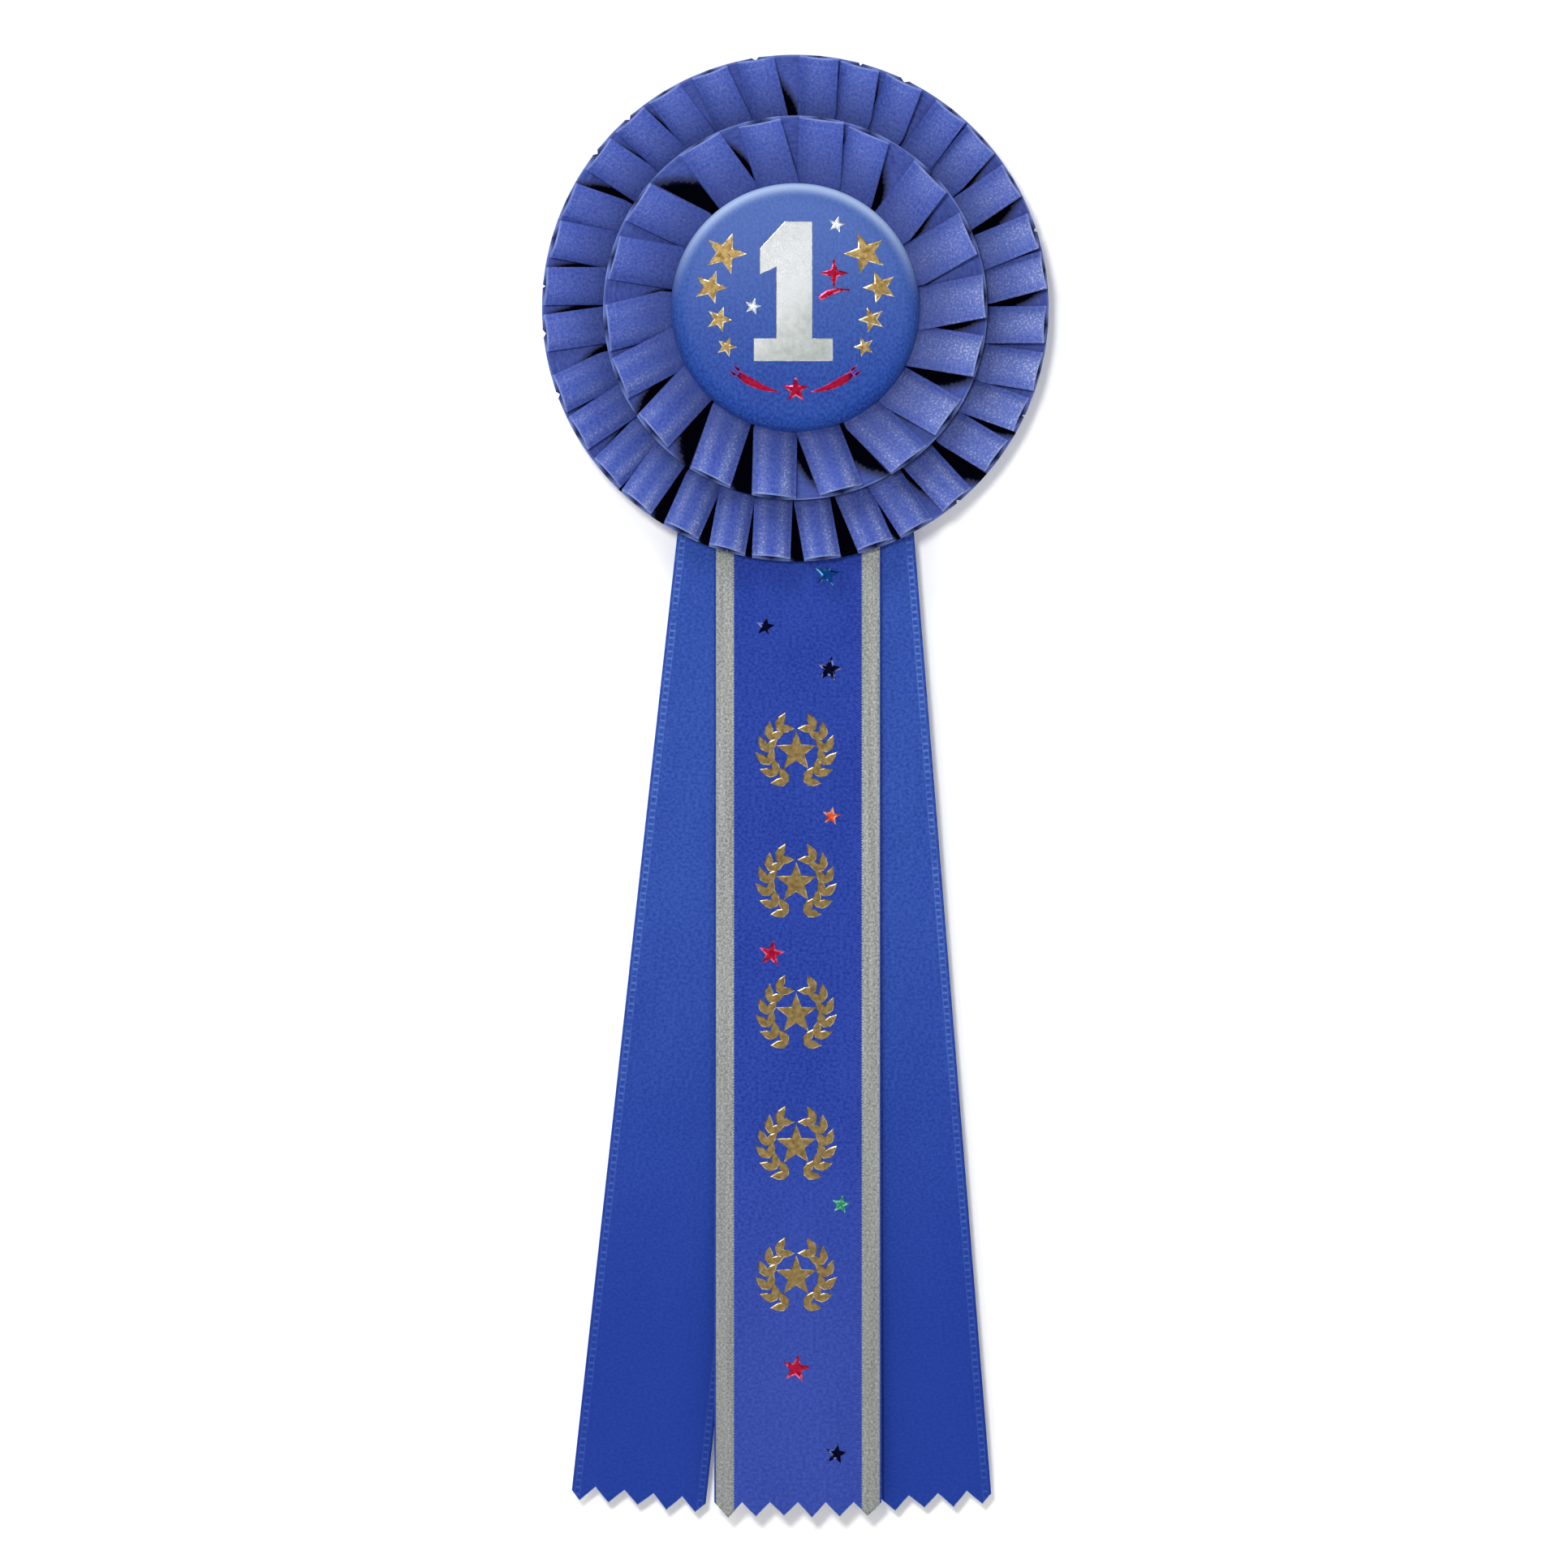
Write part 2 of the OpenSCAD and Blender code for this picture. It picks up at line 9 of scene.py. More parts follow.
import bmesh
import bpy
import numpy as np
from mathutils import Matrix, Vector


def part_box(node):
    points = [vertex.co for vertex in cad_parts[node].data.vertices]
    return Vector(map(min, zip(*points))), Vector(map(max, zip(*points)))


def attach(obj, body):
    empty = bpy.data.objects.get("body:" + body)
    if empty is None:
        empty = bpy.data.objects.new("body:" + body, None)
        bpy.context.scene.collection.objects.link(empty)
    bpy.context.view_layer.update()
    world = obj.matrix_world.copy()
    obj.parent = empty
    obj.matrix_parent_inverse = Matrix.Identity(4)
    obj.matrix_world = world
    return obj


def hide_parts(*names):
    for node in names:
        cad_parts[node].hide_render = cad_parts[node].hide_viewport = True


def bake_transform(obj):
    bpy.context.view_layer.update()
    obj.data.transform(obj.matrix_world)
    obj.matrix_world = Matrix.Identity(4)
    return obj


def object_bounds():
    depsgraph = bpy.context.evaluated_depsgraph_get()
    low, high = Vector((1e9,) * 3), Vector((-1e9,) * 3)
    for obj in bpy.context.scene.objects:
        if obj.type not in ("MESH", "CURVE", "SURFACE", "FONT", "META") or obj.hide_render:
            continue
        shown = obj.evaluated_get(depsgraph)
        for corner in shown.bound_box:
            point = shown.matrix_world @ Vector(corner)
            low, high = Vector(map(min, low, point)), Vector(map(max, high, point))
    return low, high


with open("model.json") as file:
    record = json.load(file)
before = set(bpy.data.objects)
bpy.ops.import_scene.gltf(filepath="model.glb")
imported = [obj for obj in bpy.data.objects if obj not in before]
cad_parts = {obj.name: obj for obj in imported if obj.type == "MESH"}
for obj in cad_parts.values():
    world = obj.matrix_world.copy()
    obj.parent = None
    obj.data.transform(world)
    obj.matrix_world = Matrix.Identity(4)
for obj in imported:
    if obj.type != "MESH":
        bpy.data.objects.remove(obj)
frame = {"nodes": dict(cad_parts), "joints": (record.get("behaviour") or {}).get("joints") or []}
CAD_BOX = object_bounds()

MM = 0.001
NODES = frame["nodes"]

# Sizes that the frame states
OUTER_LO, OUTER_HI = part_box("outer_pleats")
INNER_LO, INNER_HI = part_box("inner_pleats")
BUTTON_LO, BUTTON_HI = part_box("button_cover")
OUTER_R = (OUTER_HI.x - OUTER_LO.x) / 2
INNER_R = (INNER_HI.x - INNER_LO.x) / 2
BUTTON_R = (BUTTON_HI.x - BUTTON_LO.x) / 2
FOLDS = {joint["child"]: joint for joint in frame["joints"] if "streamer" in joint["name"]}
FOLD_Z = FOLDS["centre_tail"]["pos_m"][2]

# Ribbon: its thickness, its widths, what hangs below a fold and what a head hides behind it
RIBBON_T = 0.22 * MM
PLEAT_RIBBON_W = 22 * MM
CENTRE_W, CENTRE_L = 38.5 * MM, 217 * MM
SIDE_W, SIDE_L = 31 * MM, 216 * MM
HEAD_L = 40 * MM

# How far each streamer leans to the right of straight down, in degrees
CENTRE_LEAN, LEFT_LEAN, RIGHT_LEAN = 0, -6.3, 4.6


# ---- Camera ------------------------------------------------------------------

# The picture's width at the ribbons, the lens, and what the lens aims at: a little left of the
# rosette's axis, just in front of the ribbons and just above the object's middle
VIEW_W = 360.9 * MM
LENS, SENSOR = 500, 36
AIM_X, AIM_Y, AIM_RISE = -2.6 * MM, -4 * MM, 0.7 * MM


def make_camera():
    """A long lens straight in front."""
    data = bpy.data.cameras.new("camera")
    data.lens, data.sensor_width = LENS, SENSOR
    camera = bpy.data.objects.new("camera", data)
    bpy.context.collection.objects.link(camera)
    middle_z = (CAD_BOX[0].z + CAD_BOX[1].z) / 2
    distance = VIEW_W * LENS / SENSOR
    camera.location = (AIM_X, AIM_Y - distance, middle_z + AIM_RISE)
    camera.rotation_euler = (math.radians(90), 0, 0)
    bpy.context.scene.camera = camera


# ---- Meshes ------------------------------------------------------------------

def add_piece(name, mesh, material):
    """A smooth-shaded object of a mesh, in its first material."""
    piece = bpy.data.objects.new(name, mesh)
    bpy.context.collection.objects.link(piece)
    mesh.materials.append(material)
    mesh.polygons.foreach_set("use_smooth", [True] * len(mesh.polygons))
    return piece


def grid_piece(name, points, uv, material, wrap=False):
    """A sheet from rows and columns of points. With wrap, the last column is the first one again."""
    rows, cols = points.shape[:2]
    kept = cols - 1 if wrap else cols
    faces, corner_uv = [], []
    for r in range(rows - 1):
        for c in range(cols - 1):
            corners = [(r, c), (r, c + 1), (r + 1, c + 1), (r + 1, c)]
            faces.append([i * kept + j % kept for i, j in corners])
            corner_uv += [uv[i, j] for i, j in corners]
    mesh = bpy.data.meshes.new(name)
    mesh.from_pydata(points[:, :kept].reshape(-1, 3).tolist(), [], faces)
    layer = mesh.uv_layers.new(name="ribbon")
    layer.data.foreach_set("uv", np.array(corner_uv, float).ravel())
    return add_piece(name, mesh, material)


def thicken(piece, thickness):
    """Gives a sheet its thickness, half on each side."""
    solid = piece.modifiers.new("thickness", "SOLIDIFY")
    solid.thickness = thickness
    solid.offset = 0


def point_values(mesh, name, values):
    """Stores one number a point, which a material reads by its name."""
    layer = mesh.attributes.new(name, "FLOAT", "POINT")
    layer.data.foreach_set("value", values.ravel())


def lengths_along(points):
    """How far along a line of points each one lies."""
    steps = np.linalg.norm(np.diff(points, axis=0), axis=1)
    return np.concatenate([[0], np.cumsum(steps)])


def smoothstep(t):
    """0 up to t = 0, 1 from t = 1, and smooth between them."""
    t = np.clip(t, 0, 1)
    return t * t * (3 - 2 * t)


# ---- Pleated rings -----------------------------------------------------------

# What each point of a pleat's section holds: place along the ring, height, share of the face's crown, its
# share of painted light (below 1 it is painted shade), and its share of painted sheen, a painted
# highlight, on a flat face and on a tube-like one
ALONG, HEIGHT, CROWN, OPEN, FLAT_SHEEN, TUBE_SHEEN = range(6)

# The radius of the fold behind a face and of the crease at its side, and how finely all is cut
NOSE_R, CREASE_R = 0.25 * MM, 0.2 * MM
ARC_POINTS = 5
FACE_STEPS = 12
FLOOR_STEPS = 9

# Half the gap between the two folds behind a face, how much of the pitch a face may fill, and the
# last row before the rim, past which some pleats are notched
FOLD_GAP = 0.08 * MM
FULLEST_FACE = 0.965
NOTCH_START = 0.97

# Below DEEP painted light, a fold is painted so dark as shade that it takes a shaded copy of the satin
# with no shine. FLOOR_LIT is the most painted light that the back layer gets.
DEEP = 0.06
FLOOR_LIT = 0.74


def arc(cx, cy, r, start, end):
    """Points on an arc round (cx, cy) between two angles in degrees."""
    angles = np.radians(np.linspace(start, end, ARC_POINTS))
    return [(cx + r * math.cos(a), cy + r * math.sin(a)) for a in angles]


def pleat_section(w, tuck, left_h, right_h, crown):
    """One pleat across: from the fold under its left side, over its face, to the fold under its right.

    The two folds almost meet behind the face, so the ring's back is closed.
    """
    left = [(tuck * t, 0, 0, 1, 0, 0) for t in (0, 0.5)]
    # The fold behind the face's left is painted darker as shade, and the crease at its left gets a little
    # painted highlight
    left += [(*p, 0, 0.3, 0, 0) for p in arc(tuck - NOSE_R, NOSE_R, NOSE_R, -90, 90)]
    left += [(*p, 0, 1, 0.3, 0.3) for p in arc(CREASE_R, left_h, CREASE_R, 245, 115)]
    start, end = left[-1], (w - left[-1][0], right_h + left[-1][1] - left_h)
    face = []
    # A tube-like face gets two streaks of painted highlight, and the face is painted a little darker as
    # shade towards its tucked left side
    for t in np.linspace(0, 1, FACE_STEPS + 1)[1:-1]:
        bow = 1 - (2 * t - 1) ** 2
        height = start[1] + (end[1] - start[1]) * t + crown * bow
        streaks = math.exp(-((t - 0.24) / 0.12) ** 2) + 0.8 * math.exp(-((t - 0.78) / 0.11) ** 2)
        lit = min(1, 0.8 + 0.6 * t)
        face.append((start[0] + (end[0] - start[0]) * t, height, bow, lit, bow, streaks))
    # The raised crease at the right gets more painted highlight, and the fold behind it painted shade
    right = [(*p, 0, 1, 0.8, 0.3) for p in arc(w - CREASE_R, right_h, CREASE_R, 65, -65)]
    right += [(*p, 0, 0.3, 0, 0) for p in arc(w - tuck + NOSE_R, NOSE_R, NOSE_R, 90, 270)]
    right += [(w - tuck * t, 0, 0, 1, 0, 0) for t in (0.5, 0)]
    return np.array(left + face + right)


class Pleat:
    """The irregular shape of one pleat of a ring.

    angle runs clockwise from the top. low is 1 at the bottom of the ring and side is 1 a little below its
    right, where a flat pleat gets the most painted sheen. dark is how far out the fold beside it stays
    painted dark as shade.
    """

    def __init__(self, rng, index, count):
        pitch = 2 * math.pi / count
        self.angle = pitch * (index + rng.uniform(-0.12, 0.12))
        self.low = max(0, -math.cos(self.angle))
        self.side = max(0, math.sin(self.angle - 0.5))
        self.width = rng.uniform(0.95, 1.05)
        self.twist = math.radians(rng.uniform(-3.5, 3.5))
        self.crown = rng.uniform(0.5, 1.2) * (1 + 1.3 * self.low)
        self.left = rng.uniform(0.75, 1.2)
        self.right = rng.uniform(0.85, 1.2)
        self.reach = rng.uniform(-0.25, 0.2) * MM
        self.notch = rng.uniform(0.3, 1.1) * MM if rng.random() < 0.36 else 0
        # How far out the fold beside the pleat is painted dark as shade
        self.dark = rng.choice((0.45, 0.68, 0.8, 0.9)) + 0.4 * self.low


def pleat_row(pleat, ring, v):
    """The pleat's section at share v of the way from the hub to the rim.

    Each row is a point (x, z, height), its share of painted light, which below 1 is painted shade, and
    its share of painted sheen.
    """
    r = ring["hub_r"] + v * (ring["rim_r"] - ring["hub_r"])
    pitch_w = 2 * math.pi * r / ring["count"]
    w = min(ring["face_w"] * pleat.width, FULLEST_FACE * pitch_w)
    rise = v ** 1.3
    left_h = (0.9 + (1.2 + 0.9 * pleat.low) * rise) * MM * pleat.left
    right_h = (1.2 + (ring["rise"] - 0.6 * pleat.low) * rise) * MM * pleat.right
    crown = (0.2 + 0.95 * rise) * MM * pleat.crown
    slit = FOLD_GAP + (pleat.notch if v == 1 else 0)
    section = pleat_section(w, w / 2 - slit, left_h, right_h, crown)
    out = np.array([math.sin(pleat.angle), math.cos(pleat.angle)])
    across = np.array([math.cos(pleat.angle), -math.sin(pleat.angle)])
    along = section[:, ALONG] + pleat.twist * (r - ring["hub_r"])
    raised = smoothstep((section[:, HEIGHT] - 0.6 * MM) / MM)
    radius = r - raised * v ** 2 * (0.5 * MM + pleat.reach + 0.4 * MM * section[:, CROWN])
    flat = np.sqrt(radius ** 2 - along ** 2)[:, None] * out + along[:, None] * across
    # Painted sheen: most on flat pleats a little below the ring's right, and on tube-like pleats at the
    # bottom
    plain = section[:, FLAT_SHEEN] * (0.2 + 0.8 * pleat.side) * (1 - pleat.low)
    painted_sheen = v * (plain + section[:, TUBE_SHEEN] * pleat.low)
    # Painted shade: the share of painted light falls towards the hub
    lit = section[:, OPEN] * (0.54 + 0.46 * smoothstep((v - 0.3) / 0.75))
    return np.column_stack([flat, section[:, HEIGHT], lit, painted_sheen])


def floor_painted_light(pleat, v, t):
    """How much painted light the back layer gets, at share v of the way out and t across the gap.

    It lies in a deep fold beside the pleat and is painted dark as shade, further out on some than on
    others.
    """
    return FLOOR_LIT * float(smoothstep((v - pleat.dark + 0.3 * t) / 0.2))


def floor_between(pleat, before, after, v):
    """Points of the back layer from the end of one pleat to the start of the next, round the ring."""
    a, b = before[-1], after[0]
    angle_a, angle_b = math.atan2(a[0], a[1]), math.atan2(b[0], b[1])
    turn = (angle_b - angle_a + math.pi) % (2 * math.pi) - math.pi
    radius_a, radius_b = math.hypot(a[0], a[1]), math.hypot(b[0], b[1])
    points = []
    for i in range(FLOOR_STEPS):
        t = (i + 0.5) / FLOOR_STEPS
        angle = angle_a + turn * t
        radius = radius_a + (radius_b - radius_a) * t
        x, z = radius * math.sin(angle), radius * math.cos(angle)
        points.append((x, z, 0, floor_painted_light(pleat, v, t), 0))
    return np.array(points)


def give_folds_shaded_copy(mesh, lit, material):
    """Gives the faces deep in the folds, which are painted near black as shade, a shaded copy of the
    satin that has no shine.
    """
    mesh.materials.append(material)
    for face in mesh.polygons:
        if np.mean([lit[i] for i in face.vertices]) < DEEP:
            face.material_index = 1


def round_the_ring(pleats, ring, v):
    """Every pleat's section and the floor after it, round to the first point again."""
    sections = [pleat_row(pleat, ring, v) for pleat in pleats]
    row = []
    for i, section in enumerate(sections):
        row += [section, floor_between(pleats[i], section, sections[(i + 1) % len(sections)], v)]
    return np.concatenate(row + [sections[0][:1]])


def pleated_ring(node, ring, material, shaded_copy_material):
    """A ribbon folded into pleats all round. Its floor rises from the hub to the rim."""
    rng = random.Random(ring["seed"])
    pleats = [Pleat(rng, i, ring["count"]) for i in range(ring["count"])]
    rows, shares = [], []
    heights = [*np.linspace(0, NOTCH_START, ring["rows"] - 1), 1]
    for v in heights:
        row = round_the_ring(pleats, ring, v)
        y = ring["floor_y"] - ring["lift"] * v ** 1.2 - row[:, 2]
        rows.append(np.column_stack([row[:, 0], y, row[:, 1]]))
        shares.append(row[:-1, 3:])
    points, shares = np.array(rows), np.array(shares)
    along = lengths_along(points[ring["rows"] // 2])
    across = PLEAT_RIBBON_W * np.array(heights)
    uv = np.stack(np.broadcast_arrays(along[None, :], across[:, None]), axis=-1)
    piece = grid_piece(node + "_satin", points, uv, material, wrap=True)
    # The open values are painted light and shade, and the next ones a painted sheen highlight; the satin
    # reads both
    point_values(piece.data, "open", shares[:, :, 0])
    point_values(piece.data, "painted_sheen", shares[:, :, 1])
    give_folds_shaded_copy(piece.data, shares[:, :, 0].ravel(), shaded_copy_material)
    thicken(piece, RIBBON_T)
    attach(piece, "rosette")
    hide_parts(node)


# ---- Button ------------------------------------------------------------------

# A shallow sphere of radius CROWN_R, which an arc of radius EDGE_R joins to the side
EDGE_R = 4.4 * MM
CROWN_R = 220 * MM
EDGE_X = BUTTON_R - EDGE_R
CROWN_Y = BUTTON_LO.y + CROWN_R
JOIN_ANGLE = math.acos(EDGE_X / (CROWN_R - EDGE_R))
EDGE_Y = CROWN_Y - math.sin(JOIN_ANGLE) * (CROWN_R - EDGE_R)

# The satin's hem lies flat behind, in from the rim. ROUND_POINTS is how many points go round.
HEM_INSETS = (0.9 * MM, 1.8 * MM, 2.6 * MM)
HEM_ANGLE = math.radians(20)
CROWN_POINTS, EDGE_POINTS, ROUND_POINTS = 26, 16, 161


def dome_y(x, z):
    """The middle of the button's satin at a place on its crown."""
    return CROWN_Y - np.sqrt(CROWN_R ** 2 - x * x - z * z)


def button_front(x, z):
    """The front of that satin, which the foil lies on."""
    return dome_y(x, z) - RIBBON_T / 2


def button_satin(material):
    """Satin over the crown and round its edge, with its hem turned in behind."""
    crown_x = np.linspace(0.02 * MM, CROWN_R * math.cos(JOIN_ANGLE), CROWN_POINTS)
    profile = [(x, dome_y(x, 0)) for x in crown_x]
    for angle in np.linspace(JOIN_ANGLE, -HEM_ANGLE, EDGE_POINTS)[1:]:
        profile.append((EDGE_X + EDGE_R * math.cos(angle), EDGE_Y - EDGE_R * math.sin(angle)))
    hem_y = BUTTON_HI.y - 0.1 * MM
    profile += [(BUTTON_R - inset, hem_y) for inset in HEM_INSETS]
    profile = np.array(profile)
    turn = np.linspace(0, 2 * math.pi, ROUND_POINTS)
    x, z = (profile[:, :1] * np.sin(turn)), (profile[:, :1] * np.cos(turn))
    y = np.broadcast_to(profile[:, 1:], x.shape)
    points = np.stack([x, y, z], axis=-1)
    cloth = lengths_along(profile)[:, None]
    uv = np.stack([cloth * np.sin(turn), cloth * np.cos(turn)], axis=-1)
    piece = grid_piece("button_satin", points, uv, material, wrap=True)
    thicken(piece, RIBBON_T)
    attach(piece, "rosette")
    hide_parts("button_cover")


# ---- Streamers ---------------------------------------------------------------

# A pinked end: how deep its teeth are, how many columns each one has, and for each width of ribbon
# their pitch and where in a tooth the left edge starts
TOOTH_DEPTH = 3.3 * MM
TOOTH_STEPS = 8
CENTRE_TEETH = (CENTRE_W / 6, 0)
SIDE_TEETH = (6.7 * MM, 0.2)

# The rows of a ribbon: plain ones, and the last END_L where they grow into the teeth
PLAIN_ROWS, END_ROWS = 150, 8
END_L = 6 * MM

# How far a ribbon's edges curl back
CENTRE_CUP, SIDE_CUP = 0.5 * MM, 0.4 * MM

# Half the left ribbon's width where its corner is cut, at the fold, and how fast it widens below
CORNER_ROOM, CORNER_SLOPE = 8.8 * MM, 0.0956


def sway(x, z):
    """How far the hanging ribbons bow forward at a place. It is nothing near the folds."""
    below = FOLD_Z - z
    grow = smoothstep((below - 5 * MM) / (30 * MM))
    long_wave = 0.7 * np.sin(below / (26 * MM) + 0.8)
    short_wave = 0.25 * np.sin(below / (12 * MM) + x / (30 * MM) + 2.0)
    return grow * (long_wave + short_wave) * MM


def centre_forward(t):
    """The centre ribbon stands off the side ones below the fold, and its end curls forward."""
    return smoothstep(t / (60 * MM)) * 0.8 * MM + smoothstep((t - 150 * MM) / (70 * MM)) * 1.6 * MM


def side_forward(t):
    """The side ribbons lean back towards their ends."""
    return smoothstep((t - 60 * MM) / (160 * MM)) * -2.0 * MM


def cupped(t, s, w, cup):
    """How far a ribbon of width w curls back at s from its middle line, at t below its fold."""
    return cup * smoothstep(t / (40 * MM)) * (2 * s / w) ** 2


def trimmed_corner(s, t):
    """Cuts the left ribbon's hidden inner corner along a line, clear of the right ribbon."""
    room = CORNER_ROOM + CORNER_SLOPE * t
    share = np.where(t < 0, 1, np.minimum(1, room / (SIDE_W / 2)))
    return np.where(s > 0, s * share, s)


def fold_facts(body, lean_deg):
    """The fold's middle and the ribbon's directions across and down, in the (x, z) plane, and its y."""
    lean = math.radians(lean_deg)
    pos = FOLDS[body]["pos_m"]
    across = np.array([math.cos(lean), math.sin(lean)])
    down = np.array([math.sin(lean), -math.cos(lean)])
    return np.array([pos[0], pos[2]]), across, down, pos[1]


def tooth_columns(w, pitch, phase):
    """Places across a ribbon, from -w/2 to w/2, with one at every tip and notch of its pinked end."""
    start, end = phase, phase + w / pitch
    first, last = math.ceil(start * TOOTH_STEPS + 0.01), math.ceil(end * TOOTH_STEPS - 0.01)
    share = np.array([start, *(k / TOOTH_STEPS for k in range(first, last)), end])
    return (share - start) * pitch - w / 2, share


def tooth_edge(share):
    """How far the pinked end reaches past its middle line, with notches at whole shares."""
    saw = 1 - np.abs(2 * (share - np.floor(share)) - 1)
    return TOOTH_DEPTH * (saw * (1 + 0.08 * np.sin(share * 2.1)) - 0.5)


def streamer_rows(length, share):
    """How far below the fold each point of each row is, from the head's end down to the teeth."""
    plain = np.linspace(-HEAD_L, length - END_L, PLAIN_ROWS)
    end = length + tooth_edge(share)
    rows = [np.full(len(share), t) for t in plain]
    return rows + [plain[-1] + (end - plain[-1]) * part for part in np.linspace(0, 1, END_ROWS + 1)[1:]]


def streamer(side, lean_deg, w, length, teeth, cup, material, forward, trim=None):
    """A ribbon from its hidden head, over its fold, down to its pinked end.

    teeth is the pitch and the phase of its teeth, and cup how far its edges curl back.
    """
    body = side + "_tail"
    fold, across, down, layer_y = fold_facts(body, lean_deg)
    s, share = tooth_columns(w, *teeth)
    rows = streamer_rows(length, share)
    points, uv = [], []
    for t in rows:
        s_row = trim(s, t) if trim else s
        flat = fold + s_row[:, None] * across + t[:, None] * down
        bow = sway(flat[:, 0], flat[:, 1]) + forward(t)
        y = layer_y - bow + cupped(t, s_row, w, cup)
        points.append(np.column_stack([flat[:, 0], y, flat[:, 1]]))
        uv.append(np.column_stack([t + HEAD_L, s_row + w / 2]))
    piece = grid_piece(side + "_ribbon", np.array(points), np.array(uv), material)
    frayed = np.zeros((len(rows), len(s)))
    frayed[-1] = 1
    point_values(piece.data, "frayed", frayed)
    thicken(piece, RIBBON_T)
    bend_at_fold(piece)
    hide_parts(side + "_streamer", side + "_streamer_head")


def bend_at_fold(piece):
    """Bakes a piece's placement into its mesh; it does not bend the piece."""
    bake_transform(piece)


def centre_front(x, z):
    """The front of the centre ribbon, which the foil lies on."""
    fold, _, _, layer_y = fold_facts("centre_tail", CENTRE_LEAN)
    t, s = fold[1] - z, x - fold[0]
    bow = sway(x, z) + centre_forward(t)
    return layer_y - bow + cupped(t, s, CENTRE_W, CENTRE_CUP) - RIBBON_T / 2


# ---- Stamped foil ------------------------------------------------------------

# How far foil stands clear of the cloth, and how finely it is cut to follow it
FOIL_LIFT = 0.03 * MM
FOIL_GRID = 1.5 * MM

# How wide a stamp's pressed rim is, and how far the foil inside it stands up
SMOOTH_PRESS = (0.12 * MM, 0.04 * MM)
BUTTON_PRESS = (0.3 * MM, 0.13 * MM)
WREATH_PRESS = (0.22 * MM, 0.1 * MM)
STAR_PRESS = (0.36 * MM, 0.16 * MM)


def flat_outline(node):
    """The front of a CAD foil node, laid flat at y = 0 and cut into triangles."""
    bm = bmesh.new()
    bm.from_mesh(NODES[node].data)
    bmesh.ops.remove_doubles(bm, verts=bm.verts, dist=1e-6)
    rear = [f for f in bm.faces if f.normal.y > -0.7]
    bmesh.ops.delete(bm, geom=rear, context="FACES")
    for vert in bm.verts:
        vert.co.y = 0
    bmesh.ops.dissolve_limit(bm, angle_limit=0.02, verts=bm.verts, edges=bm.edges)
    bmesh.ops.triangulate(bm, faces=bm.faces)
    return bm


def bevel_rim(bm, rim, rise):
    """Insets a rim round the flat foil, in the second material. Returns the layer of points' heights."""
    height = bm.verts.layers.float.new("height")
    for vert in bm.verts:
        vert[height] = 0
    inner = list(bm.faces)
    bevel = bmesh.ops.inset_region(bm, faces=inner, thickness=rim, depth=0, use_even_offset=True,
                                   use_boundary=True)["faces"]
    for face in bevel:
        face.material_index = 1
    for face in inner:
        for vert in face.verts:
            vert[height] = rise
    return height


def cut_in_grid(bm, lo, hi):
    """Cuts the mesh along x and z at every grid step, so that it can follow a curved surface."""
    for axis in (0, 2):
        for place in np.arange(lo[axis] + FOIL_GRID, hi[axis], FOIL_GRID):
            point, normal = [0, 0, 0], [0, 0, 0]
            point[axis], normal[axis] = place, 1
            geometry = list(bm.verts) + list(bm.edges) + list(bm.faces)
            bmesh.ops.bisect_plane(bm, geom=geometry, plane_co=point, plane_no=normal)


def surface_normal(surface_y, x, z):
    """The forward normal of a surface that is given as y over (x, z)."""
    h = 0.1 * MM
    slope_x = (surface_y(x + h, z) - surface_y(x - h, z)) / (2 * h)
    slope_z = (surface_y(x, z + h) - surface_y(x, z - h)) / (2 * h)
    return Vector((slope_x, -1, slope_z)).normalized()


def shade_stamp(mesh, surface_y):
    """Gives the foil's top the smooth normals of the surface under it, and its rim flat faces."""
    normals = []
    for face in mesh.polygons:
        for corner in face.loop_indices:
            place = mesh.vertices[mesh.loops[corner].vertex_index].co
            flat = face.material_index == 1
            normals.append(face.normal if flat else surface_normal(surface_y, place.x, place.z))
    mesh.normals_split_custom_set(normals)


def stamp(node, faces_of, surface_y, press):
    """Presses a CAD foil node's outline on to a curved surface, with a bevelled rim round it.

    faces_of is the foil's material and the brighter one of its rim. press is the rim and the rise.
    """
    bm = flat_outline(node)
    height = bevel_rim(bm, *press)
    cut_in_grid(bm, *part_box(node))
    bmesh.ops.triangulate(bm, faces=bm.faces)
    for vert in bm.verts:
        vert.co.y = surface_y(vert.co.x, vert.co.z) - FOIL_LIFT - vert[height]
    bm.normal_update()
    turned = [face for face in bm.faces if face.normal.y > 0]
    bmesh.ops.reverse_faces(bm, faces=turned)
    mesh = bpy.data.meshes.new(node + "_foil")
    bm.to_mesh(mesh)
    bm.free()
    piece = add_piece(node + "_foil", mesh, faces_of[0])
    mesh.materials.append(faces_of[1])
    shade_stamp(mesh, surface_y)
    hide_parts(node)
    return piece


# ---- Shader nodes ------------------------------------------------------------

def feed(tree, socket, value):
    """Links a value that is a socket to an input, or sets the input to it."""
    if isinstance(value, bpy.types.NodeSocket):
        tree.links.new(value, socket)
    else:
        socket.default_value = value


def add(tree, kind, inputs=None, **settings):
    """A shader node, with its settings and its inputs."""
    made = tree.nodes.new(kind)
    for key, value in settings.items():
        setattr(made, key, value)
    for key, value in (inputs or {}).items():
        feed(tree, made.inputs[key], value)
    return made


def math_node(tree, operation, *values):
    """The result of a Math node."""
    made = add(tree, "ShaderNodeMath", operation=operation)
    for i, value in enumerate(values):
        feed(tree, made.inputs[i], value)
    return made.outputs[0]


def times(tree, *values):
    """All the values multiplied together."""
    product = values[0]
    for value in values[1:]:
        product = math_node(tree, "MULTIPLY", product, value)
    return product


